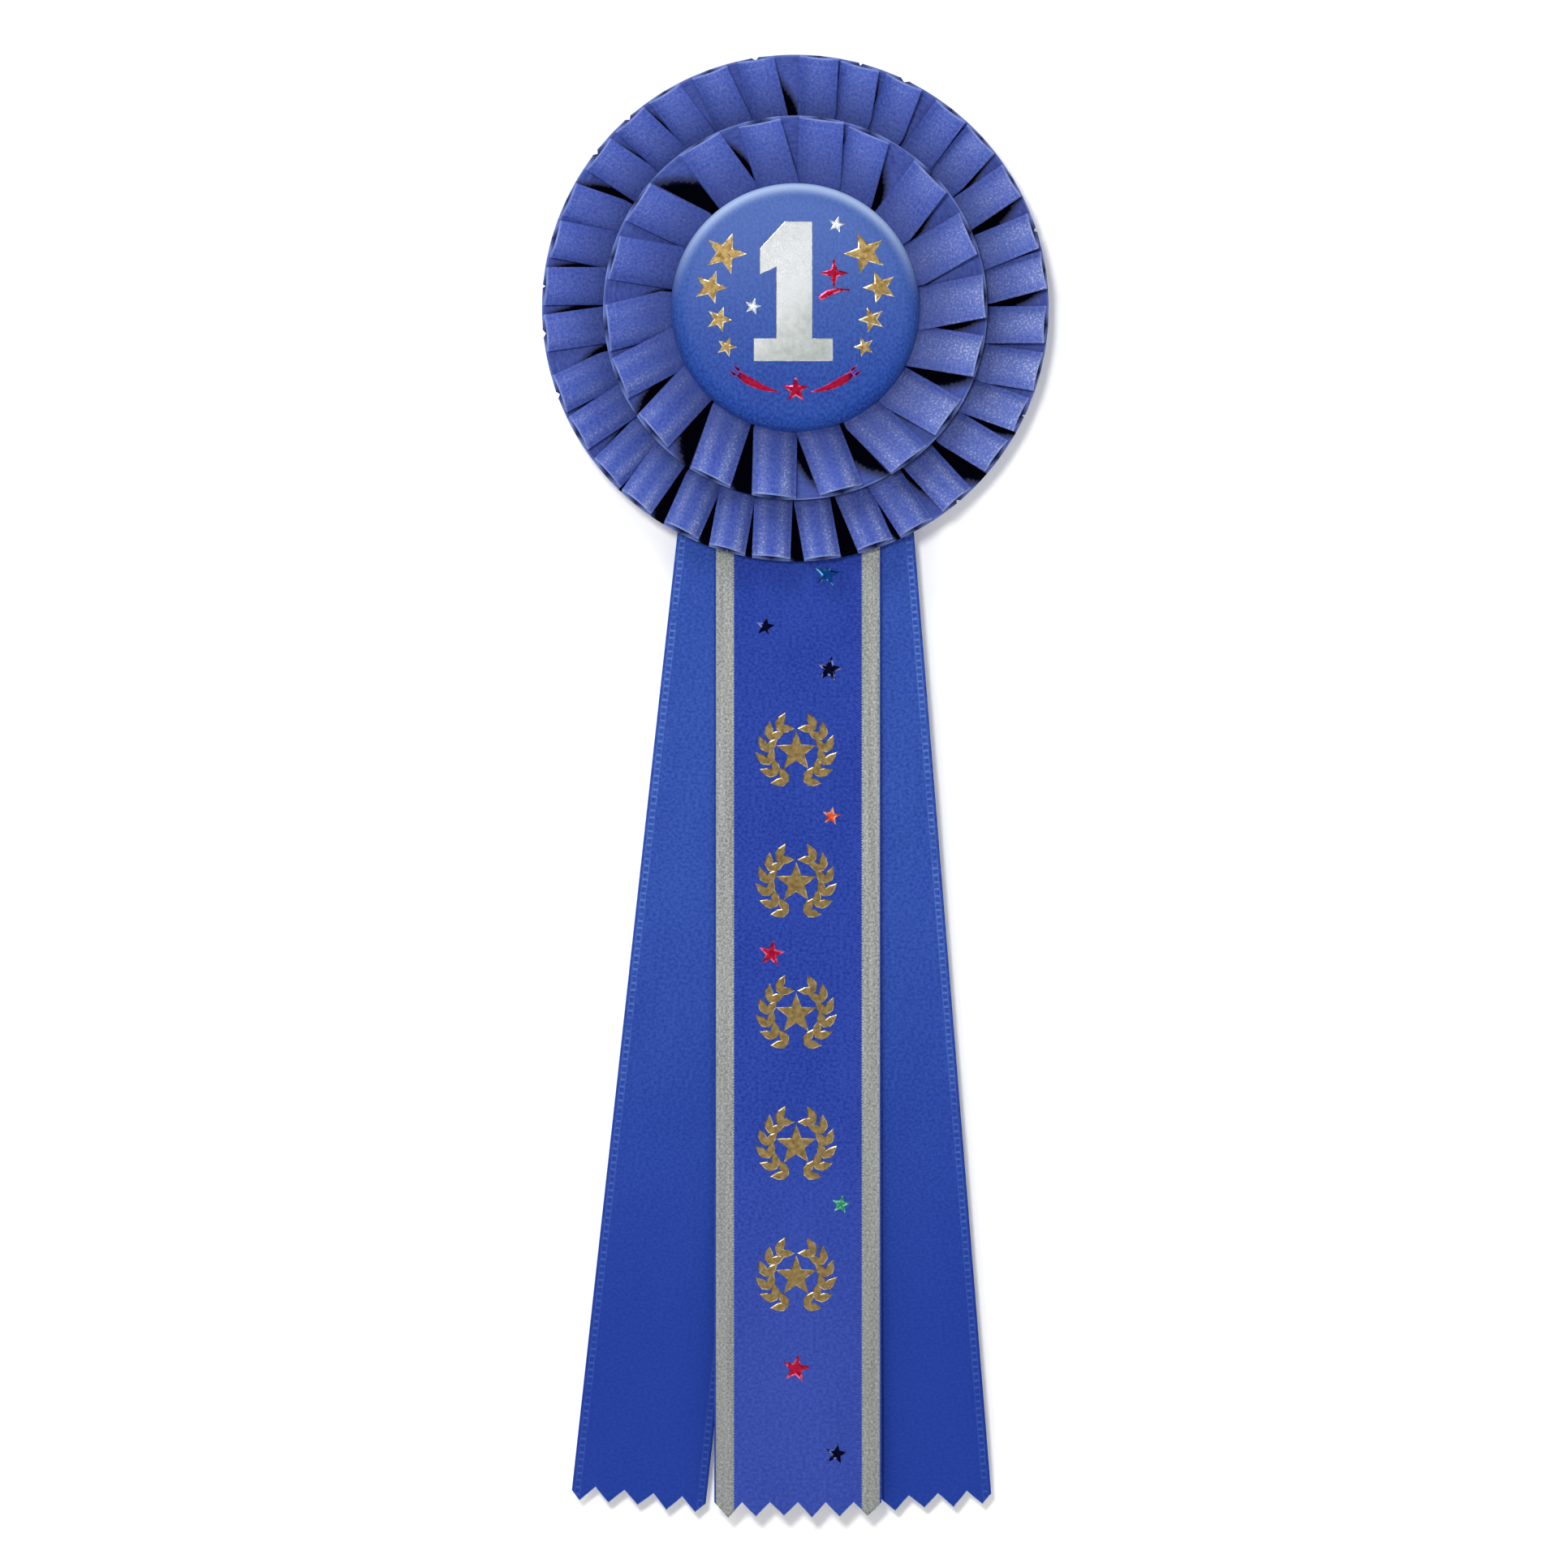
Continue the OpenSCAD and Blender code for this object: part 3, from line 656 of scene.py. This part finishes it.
def mix_colour(tree, share, a, b):
    """Colour a where share is 0, b where it is 1, and between them elsewhere."""
    made = add(tree, "ShaderNodeMix", data_type="RGBA")
    for name, value in (("Factor_Float", share), ("A_Color", a), ("B_Color", b)):
        feed(tree, next(s for s in made.inputs if s.identifier == name), value)
    return next(s for s in made.outputs if s.identifier == "Result_Color")


def parts_of(tree, vector):
    """The x, y and z of a vector."""
    return add(tree, "ShaderNodeSeparateXYZ", {"Vector": vector}).outputs


def ribbon_place(tree):
    """Metres along the ribbon and across it."""
    split = parts_of(tree, add(tree, "ShaderNodeUVMap", uv_map="ribbon").outputs[0])
    return split[0], split[1]


def object_place(tree):
    """Metres from the frame's origin."""
    return add(tree, "ShaderNodeTexCoord").outputs["Object"]


def noise_at(tree, along, across, along_size, across_size, detail=2.0):
    """Noise on a ribbon, with spots of that size each way."""
    place = add(tree, "ShaderNodeCombineXYZ", {
        "X": math_node(tree, "DIVIDE", along, along_size),
        "Y": math_node(tree, "DIVIDE", across, across_size)})
    noise = add(tree, "ShaderNodeTexNoise", {"Vector": place.outputs[0], "Scale": 1.0, "Detail": detail})
    return noise.outputs["Fac"]


def object_noise(tree, size, detail=3.0):
    """Noise through a solid, with spots of that size."""
    noise = add(tree, "ShaderNodeTexNoise",
                {"Vector": object_place(tree), "Scale": 1 / size, "Detail": detail})
    return noise.outputs["Fac"]


def spread(tree, noise, gain, middle):
    """Noise with its contrast raised by the gain, and its usual value moved to middle."""
    return math_node(tree, "MULTIPLY_ADD", math_node(tree, "SUBTRACT", noise, 0.5), gain, middle)


def band(tree, value, low, high):
    """1 where low < value < high, else 0."""
    above = math_node(tree, "GREATER_THAN", value, low)
    return times(tree, above, math_node(tree, "LESS_THAN", value, high))


def ramp_between(tree, value, low, high):
    """0 below low, 1 above high, and smooth between them."""
    made = add(tree, "ShaderNodeMapRange", {"Value": value, "From Min": low, "From Max": high},
               interpolation_type="SMOOTHSTEP")
    return made.outputs[0]


def stripes(tree, value, pitch):
    """A wave from 0 to 1 that repeats at that pitch."""
    turn = times(tree, value, 2 * math.pi / pitch)
    return math_node(tree, "MULTIPLY_ADD", math_node(tree, "SINE", turn), 0.5, 0.5)


def from_edge(tree, across, width):
    """How far a place is from the nearer edge of a ribbon of that width."""
    return math_node(tree, "MINIMUM", across, math_node(tree, "SUBTRACT", width, across))


def value_of(tree, name):
    """A number that point_values stored."""
    return add(tree, "ShaderNodeAttribute", attribute_name=name).outputs["Fac"]


def rgb(r, g, b):
    """A colour given as the eye sees it, from 0 to 255, made linear."""
    linear = [c / 3294.6 if c <= 10.31 else ((c / 255 + 0.055) / 1.055) ** 2.4 for c in (r, g, b)]
    return (*linear, 1)


def material_with(name, **constants):
    """A new material and its shader, with the constants on the shader's own sockets."""
    made = bpy.data.materials.new(name)
    made.use_nodes = True
    shader = made.node_tree.nodes["Principled BSDF"]
    for key, value in constants.items():
        shader.inputs[key.replace("_", " ")].default_value = value
    return made, made.node_tree, shader


def surface(tree, shader, colour, rough, height, strength, depth):
    """Links a shader's colour, its roughness, and the relief that its bump follows."""
    bump = add(tree, "ShaderNodeBump", {"Height": height, "Strength": strength, "Distance": depth})
    tree.links.new(colour, shader.inputs["Base Color"])
    tree.links.new(rough, shader.inputs["Roughness"])
    tree.links.new(bump.outputs[0], shader.inputs["Normal"])


def uneven(tree, noise, roughness):
    """Roughness that varies with the noise round its usual value."""
    return math_node(tree, "MULTIPLY_ADD", noise, 0.2, roughness - 0.1)


# ---- Satin -------------------------------------------------------------------

# The spacing of the satin's threads each way, and of the ribs in its silver bands
WEFT_PITCH, WARP_PITCH = 0.42 * MM, 0.3 * MM
RIB_PITCH = 0.62 * MM


def satin(name, dark, light, decorate, roughness, grain_size=0.65 * MM, grain_gain=3.4, shine=0.15):
    """Satin ribbon: a fine grainy weave with a soft sheen. decorate adds what is woven into it."""
    made, tree, shader = material_with(name, Sheen_Weight=shine / 6, Sheen_Roughness=0.4,
                                       Sheen_Tint=(0.7, 0.78, 1, 1), Specular_IOR_Level=shine)
    along, across = ribbon_place(tree)
    grain = noise_at(tree, along, across, grain_size, 1.2 * grain_size, 3.0)
    cloud = noise_at(tree, along, across, 22 * MM, 13 * MM)
    tone = spread(tree, cloud, 0.7, spread(tree, grain, grain_gain, 0.5))
    colour = mix_colour(tree, tone, dark, light)
    weft = stripes(tree, along, WEFT_PITCH)
    warp = stripes(tree, across, WARP_PITCH)
    relief = math_node(tree, "MULTIPLY_ADD", weft, 0.5, times(tree, warp, 0.35))
    relief = math_node(tree, "MULTIPLY_ADD", grain, 2.2, relief)
    colour, relief, metal = decorate(tree, along, across, colour, relief)
    surface(tree, shader, colour, uneven(tree, grain, roughness), relief, 0.4, 0.05 * MM)
    if metal is not None:
        tree.links.new(metal, shader.inputs["Metallic"])
    return made


def pleated(tree, along, across, colour, relief):
    """Pleats are painted near black as shade deep in their folds and darker towards the hub, with a
    painted sheen highlight on their crowns, a faint line of doubled threads near the ribbon's edges and a
    painted highlight along the cut edge."""
    fade_share = noise_at(tree, along, across, 3 * MM, 30 * MM)
    line = band(tree, from_edge(tree, across, PLEAT_RIBBON_W), 2.0 * MM, 2.3 * MM)
    dots = math_node(tree, "GREATER_THAN", stripes(tree, along, 0.7 * MM), 0.4)
    stitched = times(tree, line, dots, fade_share)
    colour = mix_colour(tree, times(tree, stitched, 0.3), colour, rgb(120, 140, 205))
    # Painted highlight: a paler line along each pleat's cut edge, where the edge catches light
    cut = ramp_between(tree, across, PLEAT_RIBBON_W - 0.55 * MM, PLEAT_RIBBON_W - 0.1 * MM)
    colour = mix_colour(tree, times(tree, cut, fade_share, 0.9), colour, rgb(140, 158, 214))
    # Painted sheen: patchy whitish highlight on the pleats' crowns
    fine = noise_at(tree, along, across, 0.5 * MM, 0.5 * MM, 4.0)
    patch = noise_at(tree, along, across, 7 * MM, 6 * MM)
    sparkle = math_node(tree, "MULTIPLY_ADD", ramp_between(tree, fine, 0.5, 0.66), 0.5, 0.16)
    painted_sheen = times(tree, value_of(tree, "painted_sheen"), sparkle, patch, 2.7)
    colour = mix_colour(tree, painted_sheen, colour, rgb(170, 182, 214))
    # Painted shade: near black where little light is painted, except on the ring's back
    backward = parts_of(tree, add(tree, "ShaderNodeNewGeometry").outputs["Normal"])[1]
    behind = math_node(tree, "GREATER_THAN", backward, 0.3)
    lit = math_node(tree, "MAXIMUM", value_of(tree, "open"), behind)
    colour = mix_colour(tree, lit, rgb(2, 2, 8), colour)
    return colour, math_node(tree, "ADD", relief, times(tree, stitched, 1.5)), None


def button_painted_light(tree, along, across, colour, relief):
    """Satin over the button, painted paler towards the top as if lit from above, with a painted highlight
    over its upper rim.
    """
    squares = math_node(tree, "ADD", times(tree, along, along), times(tree, across, across))
    radius = math_node(tree, "SQRT", squares)
    # Painted light: paler towards the top
    top_light_share = ramp_between(tree, across, -22 * MM, 30 * MM)
    colour = mix_colour(tree, times(tree, top_light_share, 0.3), colour, rgb(112, 140, 196))
    # Painted highlight over the upper rim
    rim = ramp_between(tree, radius, BUTTON_R - 3.8 * MM, BUTTON_R + 0.2 * MM)
    upper = ramp_between(tree, math_node(tree, "DIVIDE", across, radius), 0.0, 0.9)
    colour = mix_colour(tree, times(tree, rim, rim, upper), colour, rgb(176, 198, 236))
    return colour, relief, None


def frayed_end(tree, along, across, colour):
    """A pale ragged line of cut threads along the pinked end."""
    thread = noise_at(tree, along, across, 2 * MM, 0.35 * MM)
    reach = math_node(tree, "MULTIPLY_ADD", thread, -0.5, 1.02)
    cut = math_node(tree, "GREATER_THAN", value_of(tree, "frayed"), reach)
    return mix_colour(tree, times(tree, cut, 0.6), colour, rgb(150, 168, 220))


def ladder_edge(tree, along, across, colour, relief):
    """A ladder of pale stitches just inside each edge, uneven in strength, and towards the ribbon's end
    painted shade: a darker blue and fainter stitches."""
    # Painted shade: darker towards the ribbon's end
    end_painted_shading = ramp_between(tree, along, 90 * MM, 230 * MM)
    colour = mix_colour(tree, times(tree, end_painted_shading, 0.75), colour, rgb(6, 42, 132))
    edge = from_edge(tree, across, SIDE_W)
    step = math_node(tree, "GREATER_THAN", stripes(tree, along, 1.6 * MM), 0.78)
    rungs = times(tree, step, band(tree, edge, 0.8 * MM, 1.9 * MM))
    rails = math_node(tree, "MAXIMUM", band(tree, edge, 0.6 * MM, 0.85 * MM),
                      band(tree, edge, 1.8 * MM, 2.05 * MM))
    pattern = math_node(tree, "MAXIMUM", rungs, times(tree, rails, 0.5))
    wear = ramp_between(tree, noise_at(tree, along, across, 5 * MM, 20 * MM), 0.2, 0.54)
    share = times(tree, pattern, wear)
    strength = math_node(tree, "MULTIPLY_ADD", end_painted_shading, -0.24, 0.38)
    colour = mix_colour(tree, times(tree, share, strength), colour, rgb(112, 144, 214))
    relief = math_node(tree, "MULTIPLY_ADD", share, 1.5, relief)
    return frayed_end(tree, along, across, colour), relief, None


def silver_thread(tree, along, across):
    """The colour and the relief of silver thread, darker towards the ribbon's end."""
    thread = noise_at(tree, along, across, 0.55 * MM, 0.5 * MM, 3.0)
    column = noise_at(tree, along, across, 40 * MM, 1.1 * MM)
    tone = math_node(tree, "MULTIPLY_ADD", thread, 2.2, times(tree, column, 0.7))
    tone = math_node(tree, "SUBTRACT", tone, 0.95)
    silver = mix_colour(tree, tone, rgb(102, 105, 104), rgb(172, 176, 173))
    # Darker towards the ribbon's end
    fade_share = times(tree, ramp_between(tree, along, 110 * MM, 220 * MM), 0.3)
    silver = mix_colour(tree, fade_share, silver, rgb(98, 102, 101))
    ribs = math_node(tree, "MULTIPLY_ADD", thread, 2.0, times(tree, stripes(tree, along, RIB_PITCH), 1.2))
    return silver, ribs


def silver_bands(tree, along, across, colour, relief):
    """A band of silver thread just inside each edge, with a ragged inner side, and painted light that
    makes the blue lighter towards the ribbon's end."""
    # Painted light: lighter blue towards the ribbon's end
    end_painted_shading = ramp_between(tree, along, 150 * MM, 230 * MM)
    colour = mix_colour(tree, times(tree, end_painted_shading, 0.09), colour, rgb(104, 116, 190))
    ragged = times(tree, stripes(tree, along, RIB_PITCH), 0.25 * MM)
    inner = math_node(tree, "ADD", ragged, 4.4 * MM)
    mask = band(tree, from_edge(tree, across, CENTRE_W), 0.4 * MM, inner)
    silver, ribs = silver_thread(tree, along, across)
    colour = mix_colour(tree, mask, frayed_end(tree, along, across, colour), silver)
    return colour, math_node(tree, "MULTIPLY_ADD", mask, ribs, relief), times(tree, mask, 0.3)


# ---- Foil and hard materials -------------------------------------------------

def foil(name, dark, light, roughness=0.6, mottle=0.8 * MM, contrast=2.2, middle=0.5, decorate=None):
    """Hot-stamped metallic foil, mottled by the weave under it. middle is its usual share of the lighter
    colour, which on a rim is a painted glint.
    """
    made, tree, shader = material_with(name, Metallic=1.0)
    spots = object_noise(tree, mottle)
    fine = object_noise(tree, 0.3 * MM)
    colour = mix_colour(tree, spread(tree, spots, contrast, middle), dark, light)
    if decorate:
        colour = decorate(tree, colour)
    height = math_node(tree, "MULTIPLY_ADD", spots, 1.0, times(tree, fine, 0.5))
    surface(tree, shader, colour, uneven(tree, fine, roughness), height, 0.25, 0.08 * MM)
    return made


def foil_pair(name, dark, light, glint, painted_glint_share=0.5, **looks):
    """A foil and its rim, which the stamp's edge has pressed smoother, painted here and there with a
    brighter glint colour, a painted highlight.
    """
    return (foil(name + "_foil", dark, light, **looks),
            # The rim's colour runs from the foil's light colour to glint, a painted highlight
            foil(name + "_foil_rim", light, glint, roughness=0.3, mottle=1.6 * MM, contrast=8,
                 middle=painted_glint_share))


def painted_highlight_band(tree, colour):
    """A painted highlight on the numeral's foil in a slanting band above its middle, a little weaker at
    its top, and none at its foot.
    """
    split = parts_of(tree, object_place(tree))
    slant = math_node(tree, "SUBTRACT", split[2], split[0])
    rising = ramp_between(tree, slant, -8 * MM, 5 * MM)
    falling = times(tree, ramp_between(tree, slant, 12 * MM, 20 * MM), 0.3)
    share = math_node(tree, "SUBTRACT", rising, falling)
    # Painted highlight colour, mixed in the band
    return mix_colour(tree, times(tree, share, 0.7), colour, rgb(171, 172, 175))


def burnt_ends(tree, colour):
    """The trails' outer ends were stamped thin, so they are nearly black."""
    x = math_node(tree, "ABSOLUTE", parts_of(tree, object_place(tree))[0])
    x = math_node(tree, "MULTIPLY_ADD", object_noise(tree, 0.6 * MM), 1.6 * MM, x)
    return mix_colour(tree, ramp_between(tree, x, 12.2 * MM, 14.2 * MM), colour, rgb(20, 14, 60))


def grained(name, dark, light, size, roughness, metallic=0.0, strength=0.2):
    """A plain surface with fine grain: card, tape, thread, glue or plated steel."""
    made, tree, shader = material_with(name, Metallic=metallic)
    grain = object_noise(tree, size)
    surface(tree, shader, mix_colour(tree, grain, dark, light), uneven(tree, grain, roughness), grain,
            strength, 0.05 * MM)
    return made


def dress(material, *nodes):
    """Gives CAD nodes a material in place of their own."""
    for node in nodes:
        NODES[node].data.materials.clear()
        NODES[node].data.materials.append(material)


# ---- Stage -------------------------------------------------------------------

# How brightly the white surroundings light the object, how far the floor is below it, and how far
# the backdrop is behind it
AMBIENT = 0.3
FLOOR_DROP = 120 * MM
BACK_GAP = 1.5 * MM

# The backdrop's openings: how far inside the ribbon's edges, how far below its fold, and how softly
# they end
OPENING_MARGIN = 0.5 * MM
OPENING_TOP = 3.5 * MM
OPENING_FADE = 24 * MM

# Each light's place, what it points at, how wide it is, and its power in watts
LIGHTS = {
    "front": ((-0.28, -2.3, 0.32), (0, 0, -0.1), 0.3, 29),
    "key": ((-0.42, -0.85, 0.85), (0, 0, -0.06), 0.42, 6),
    "fill": ((0.9, -1.1, 0.1), (0, 0, -0.12), 0.8, 1.5),
    "glint": ((-0.5, -0.8, -0.55), (0, 0, -0.1), 0.22, 0.8),
    "rear": ((0.5, 1.6, 0.5), (0, 0, -0.1), 0.9, 4),
}


def area_light(name, place, target, size, power):
    """A round soft light that points at a target."""
    data = bpy.data.lights.new(name, "AREA")
    data.shape, data.size, data.energy = "DISK", size, power
    light = bpy.data.objects.new(name, data)
    bpy.context.collection.objects.link(light)
    light.location = place
    light.rotation_euler = (Vector(target) - Vector(place)).to_track_quat("-Z", "Y").to_euler()


def stage_plane(name, corner, side_a, side_b, material):
    """A flat rectangle of the stage, from one corner along two sides."""
    a, b, c = Vector(corner), Vector(side_a), Vector(side_b)
    mesh = bpy.data.meshes.new(name)
    mesh.from_pydata([a, a + b, a + b + c, a + c], [], [(0, 1, 2, 3)])
    piece = bpy.data.objects.new(name, mesh)
    bpy.context.collection.objects.link(piece)
    mesh.materials.append(material)


def way_through(tree, body, lean_deg):
    """1 straight behind the part of a side ribbon's place where it shows when it has swung back."""
    fold, across, down, _ = fold_facts(body, lean_deg)
    place = parts_of(tree, add(tree, "ShaderNodeNewGeometry").outputs["Position"])
    x = math_node(tree, "SUBTRACT", place[0], float(fold[0]))
    z = math_node(tree, "SUBTRACT", place[2], float(fold[1]))
    s, t = (math_node(tree, "MULTIPLY_ADD", x, float(way[0]), times(tree, z, float(way[1])))
            for way in (across, down))
    reach = SIDE_L * math.cos(math.radians(FOLDS[body]["range_deg"][1])) + TOOTH_DEPTH
    inside = band(tree, s, OPENING_MARGIN - SIDE_W / 2, SIDE_W / 2 - OPENING_MARGIN)
    top = ramp_between(tree, t, OPENING_TOP, OPENING_TOP + MM)
    end = ramp_between(tree, t, reach, reach + OPENING_FADE)
    return times(tree, inside, math_node(tree, "SUBTRACT", top, end))


def backdrop_paint():
    """White card that glows a little, so only shadows show on it. It is clear from behind, and lets
    the light behind it through. The side ribbons swing back through two openings hidden behind them."""
    made, tree, shader = material_with("backdrop_paint", Base_Color=rgb(249, 249, 247), Roughness=0.9,
                                       Specular_IOR_Level=0.0, Emission_Color=(1, 1, 1, 1),
                                       Emission_Strength=0.06)
    clear = add(tree, "ShaderNodeBsdfTransparent")
    behind = add(tree, "ShaderNodeNewGeometry").outputs["Backfacing"]
    shadow = add(tree, "ShaderNodeLightPath").outputs["Is Shadow Ray"]
    openings = math_node(tree, "MAXIMUM", way_through(tree, "left_tail", LEFT_LEAN),
                         way_through(tree, "right_tail", RIGHT_LEAN))
    open_share = math_node(tree, "MAXIMUM", openings, math_node(tree, "MAXIMUM", behind, shadow))
    mix = add(tree, "ShaderNodeMixShader", {0: open_share, 1: shader.outputs[0], 2: clear.outputs[0]})
    tree.links.new(mix.outputs[0], tree.nodes["Material Output"].inputs["Surface"])
    return made


def make_world():
    """White where the camera sees it, and much softer as a light."""
    world = bpy.data.worlds.new("studio")
    bpy.context.scene.world = world
    world.use_nodes = True
    tree = world.node_tree
    seen = add(tree, "ShaderNodeLightPath").outputs["Is Camera Ray"]
    glow = math_node(tree, "MULTIPLY_ADD", seen, 1 - AMBIENT, AMBIENT)
    tree.links.new(glow, tree.nodes["Background"].inputs["Strength"])
    tree.nodes["Background"].inputs["Color"].default_value = (1, 1, 1, 1)


def make_stage():
    """A floor well below the object, a backdrop close behind it, and soft lights."""
    floor_z = CAD_BOX[0].z - FLOOR_DROP
    floor, _, _ = material_with("floor_paint", Base_Color=rgb(240, 240, 238), Roughness=0.8)
    stage_plane("floor", (-2, -2.2, floor_z), (4, 0, 0), (0, 3.2, 0), floor)
    back_y = CAD_BOX[1].y + BACK_GAP
    stage_plane("backdrop", (-0.7, back_y, floor_z), (1.4, 0, 0), (0, 0, 1.1), backdrop_paint())
    make_world()
    for name, facts in LIGHTS.items():
        area_light(name, *facts)
    bpy.context.scene.view_settings.view_transform = "Standard"


# ---- The object --------------------------------------------------------------

make_camera()

PLEAT_BLUES = rgb(44, 62, 150), rgb(74, 95, 178)
pleat_satin = satin("pleat_satin", *PLEAT_BLUES, pleated, 0.55, grain_gain=2.2)
# A shaded copy of the pleat satin, with no shine, for the faces painted near black as shade in the folds
pleat_shaded_copy = satin("pleat_shaded_copy", *PLEAT_BLUES, pleated, 0.9, shine=0)
button_cloth = satin("button_satin", rgb(14, 48, 130), rgb(36, 72, 152), button_painted_light, 0.5,
                     grain_size=0.7 * MM, grain_gain=4.0)
centre_satin = satin("centre_satin", rgb(14, 42, 130), rgb(38, 64, 152), silver_bands, 0.7)
side_satin = satin("side_satin", rgb(26, 56, 138), rgb(48, 78, 160), ladder_edge, 0.7)

gold = foil_pair("gold", rgb(108, 84, 42), rgb(172, 148, 98), rgb(236, 222, 184), mottle=1.0 * MM)
wreath_gold = foil_pair("wreath_gold", rgb(92, 76, 44), rgb(134, 114, 74), rgb(196, 176, 130),
                        painted_glint_share=0.25, mottle=1.0 * MM)
silver = foil_pair("silver", rgb(172, 178, 182), rgb(204, 210, 214), rgb(238, 240, 244))
numeral_silver = foil_pair("numeral_silver", rgb(134, 139, 137), rgb(156, 160, 159), rgb(206, 209, 212),
                           roughness=0.55, mottle=2 * MM, decorate=painted_highlight_band)
red = foil_pair("red", rgb(110, 10, 34), rgb(158, 26, 54), rgb(236, 110, 146), painted_glint_share=0.3)
trail_red = foil_pair("trail_red", rgb(112, 10, 36), rgb(156, 24, 58), rgb(214, 70, 110), painted_glint_share=0.3,
                      decorate=burnt_ends)
navy = foil_pair("navy", rgb(3, 3, 14), rgb(10, 12, 42), rgb(130, 144, 220), painted_glint_share=0.05)
cyan = foil_pair("cyan", rgb(8, 34, 92), rgb(14, 60, 118), rgb(110, 214, 255), painted_glint_share=0.4)
orange = foil_pair("orange", rgb(150, 34, 22), rgb(206, 78, 44), rgb(255, 176, 140), painted_glint_share=0.4)
green = foil_pair("green", rgb(14, 74, 50), rgb(48, 140, 96), rgb(150, 240, 196), painted_glint_share=0.4)

card = grained("white_card", rgb(214, 212, 204), rgb(240, 239, 234), 0.5 * MM, 0.8)
steel = grained("nickel_plate", rgb(176, 176, 180), rgb(222, 222, 226), 0.6 * MM, 0.25,
                metallic=1.0, strength=0.06)
tinplate = grained("tinplate", rgb(150, 152, 156), rgb(196, 198, 202), 2 * MM, 0.4,
                   metallic=1.0, strength=0.1)
tape = grained("foam_tape", rgb(206, 206, 202), rgb(238, 238, 236), 0.3 * MM, 0.9, strength=0.5)
thread = grained("white_thread", rgb(190, 192, 200), rgb(236, 238, 242), 0.25 * MM, 0.8, strength=0.6)
glue = grained("hot_melt", rgb(206, 190, 150), rgb(232, 220, 186), 1.5 * MM, 0.35)

dress(card, "rear_card", "front_card", "inner_card")
dress(steel, "pin_base", "pin_rivet", "pin_needle", "pin_catch", "pin_roller", "staples")
dress(tinplate, "button_shell", "button_back")
dress(tape, "pin_pad")
dress(thread, "outer_gathering_thread", "inner_gathering_thread")
dress(glue, "glue_pad")

# face_w is a pleat's width where the ring has room for it, lift how far the floor comes forward from
# the hub to the rim, and rise how many millimetres a pleat's right side rises on the way
RINGS = {
    "outer_pleats": {"rim_r": OUTER_R + 0.6 * MM, "hub_r": OUTER_R - PLEAT_RIBBON_W, "count": 32,
                     "rows": 25, "face_w": 8.5 * MM, "floor_y": OUTER_HI.y - RIBBON_T,
                     "lift": 1.6 * MM, "rise": 2.6, "seed": 5, "card": "front_card"},
    "inner_pleats": {"rim_r": INNER_R + 0.5 * MM, "hub_r": INNER_R - PLEAT_RIBBON_W, "count": 18,
                     "rows": 25, "face_w": 10 * MM, "floor_y": INNER_HI.y - RIBBON_T,
                     "lift": 1.8 * MM, "rise": 3.0, "seed": 11, "card": "inner_card"},
}
for node, ring in RINGS.items():
    pleated_ring(node, ring, pleat_satin, pleat_shaded_copy)

button_satin(button_cloth)
for node, foils, press in (("numeral", numeral_silver, SMOOTH_PRESS),
                           ("numeral_ornament", red, BUTTON_PRESS),
                           ("button_gold_stars", gold, BUTTON_PRESS),
                           ("button_silver_stars", silver, BUTTON_PRESS),
                           ("button_red_star", red, BUTTON_PRESS),
                           ("button_red_trails", trail_red, SMOOTH_PRESS)):
    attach(stamp(node, foils, button_front, press), "rosette")

streamer("centre", CENTRE_LEAN, CENTRE_W, CENTRE_L, CENTRE_TEETH, CENTRE_CUP, centre_satin,
         centre_forward)
streamer("left", LEFT_LEAN, SIDE_W, SIDE_L, SIDE_TEETH, SIDE_CUP, side_satin, side_forward,
         trimmed_corner)
streamer("right", RIGHT_LEAN, SIDE_W, SIDE_L, SIDE_TEETH, SIDE_CUP, side_satin, side_forward)
for node, foils, press in (("gold_wreaths", wreath_gold, WREATH_PRESS),
                           ("streamer_red_stars", red, STAR_PRESS),
                           ("streamer_navy_stars", navy, STAR_PRESS),
                           ("streamer_cyan_star", cyan, STAR_PRESS),
                           ("streamer_orange_star", orange, STAR_PRESS),
                           ("streamer_green_star", green, STAR_PRESS)):
    bend_at_fold(stamp(node, foils, centre_front, press))

make_stage()
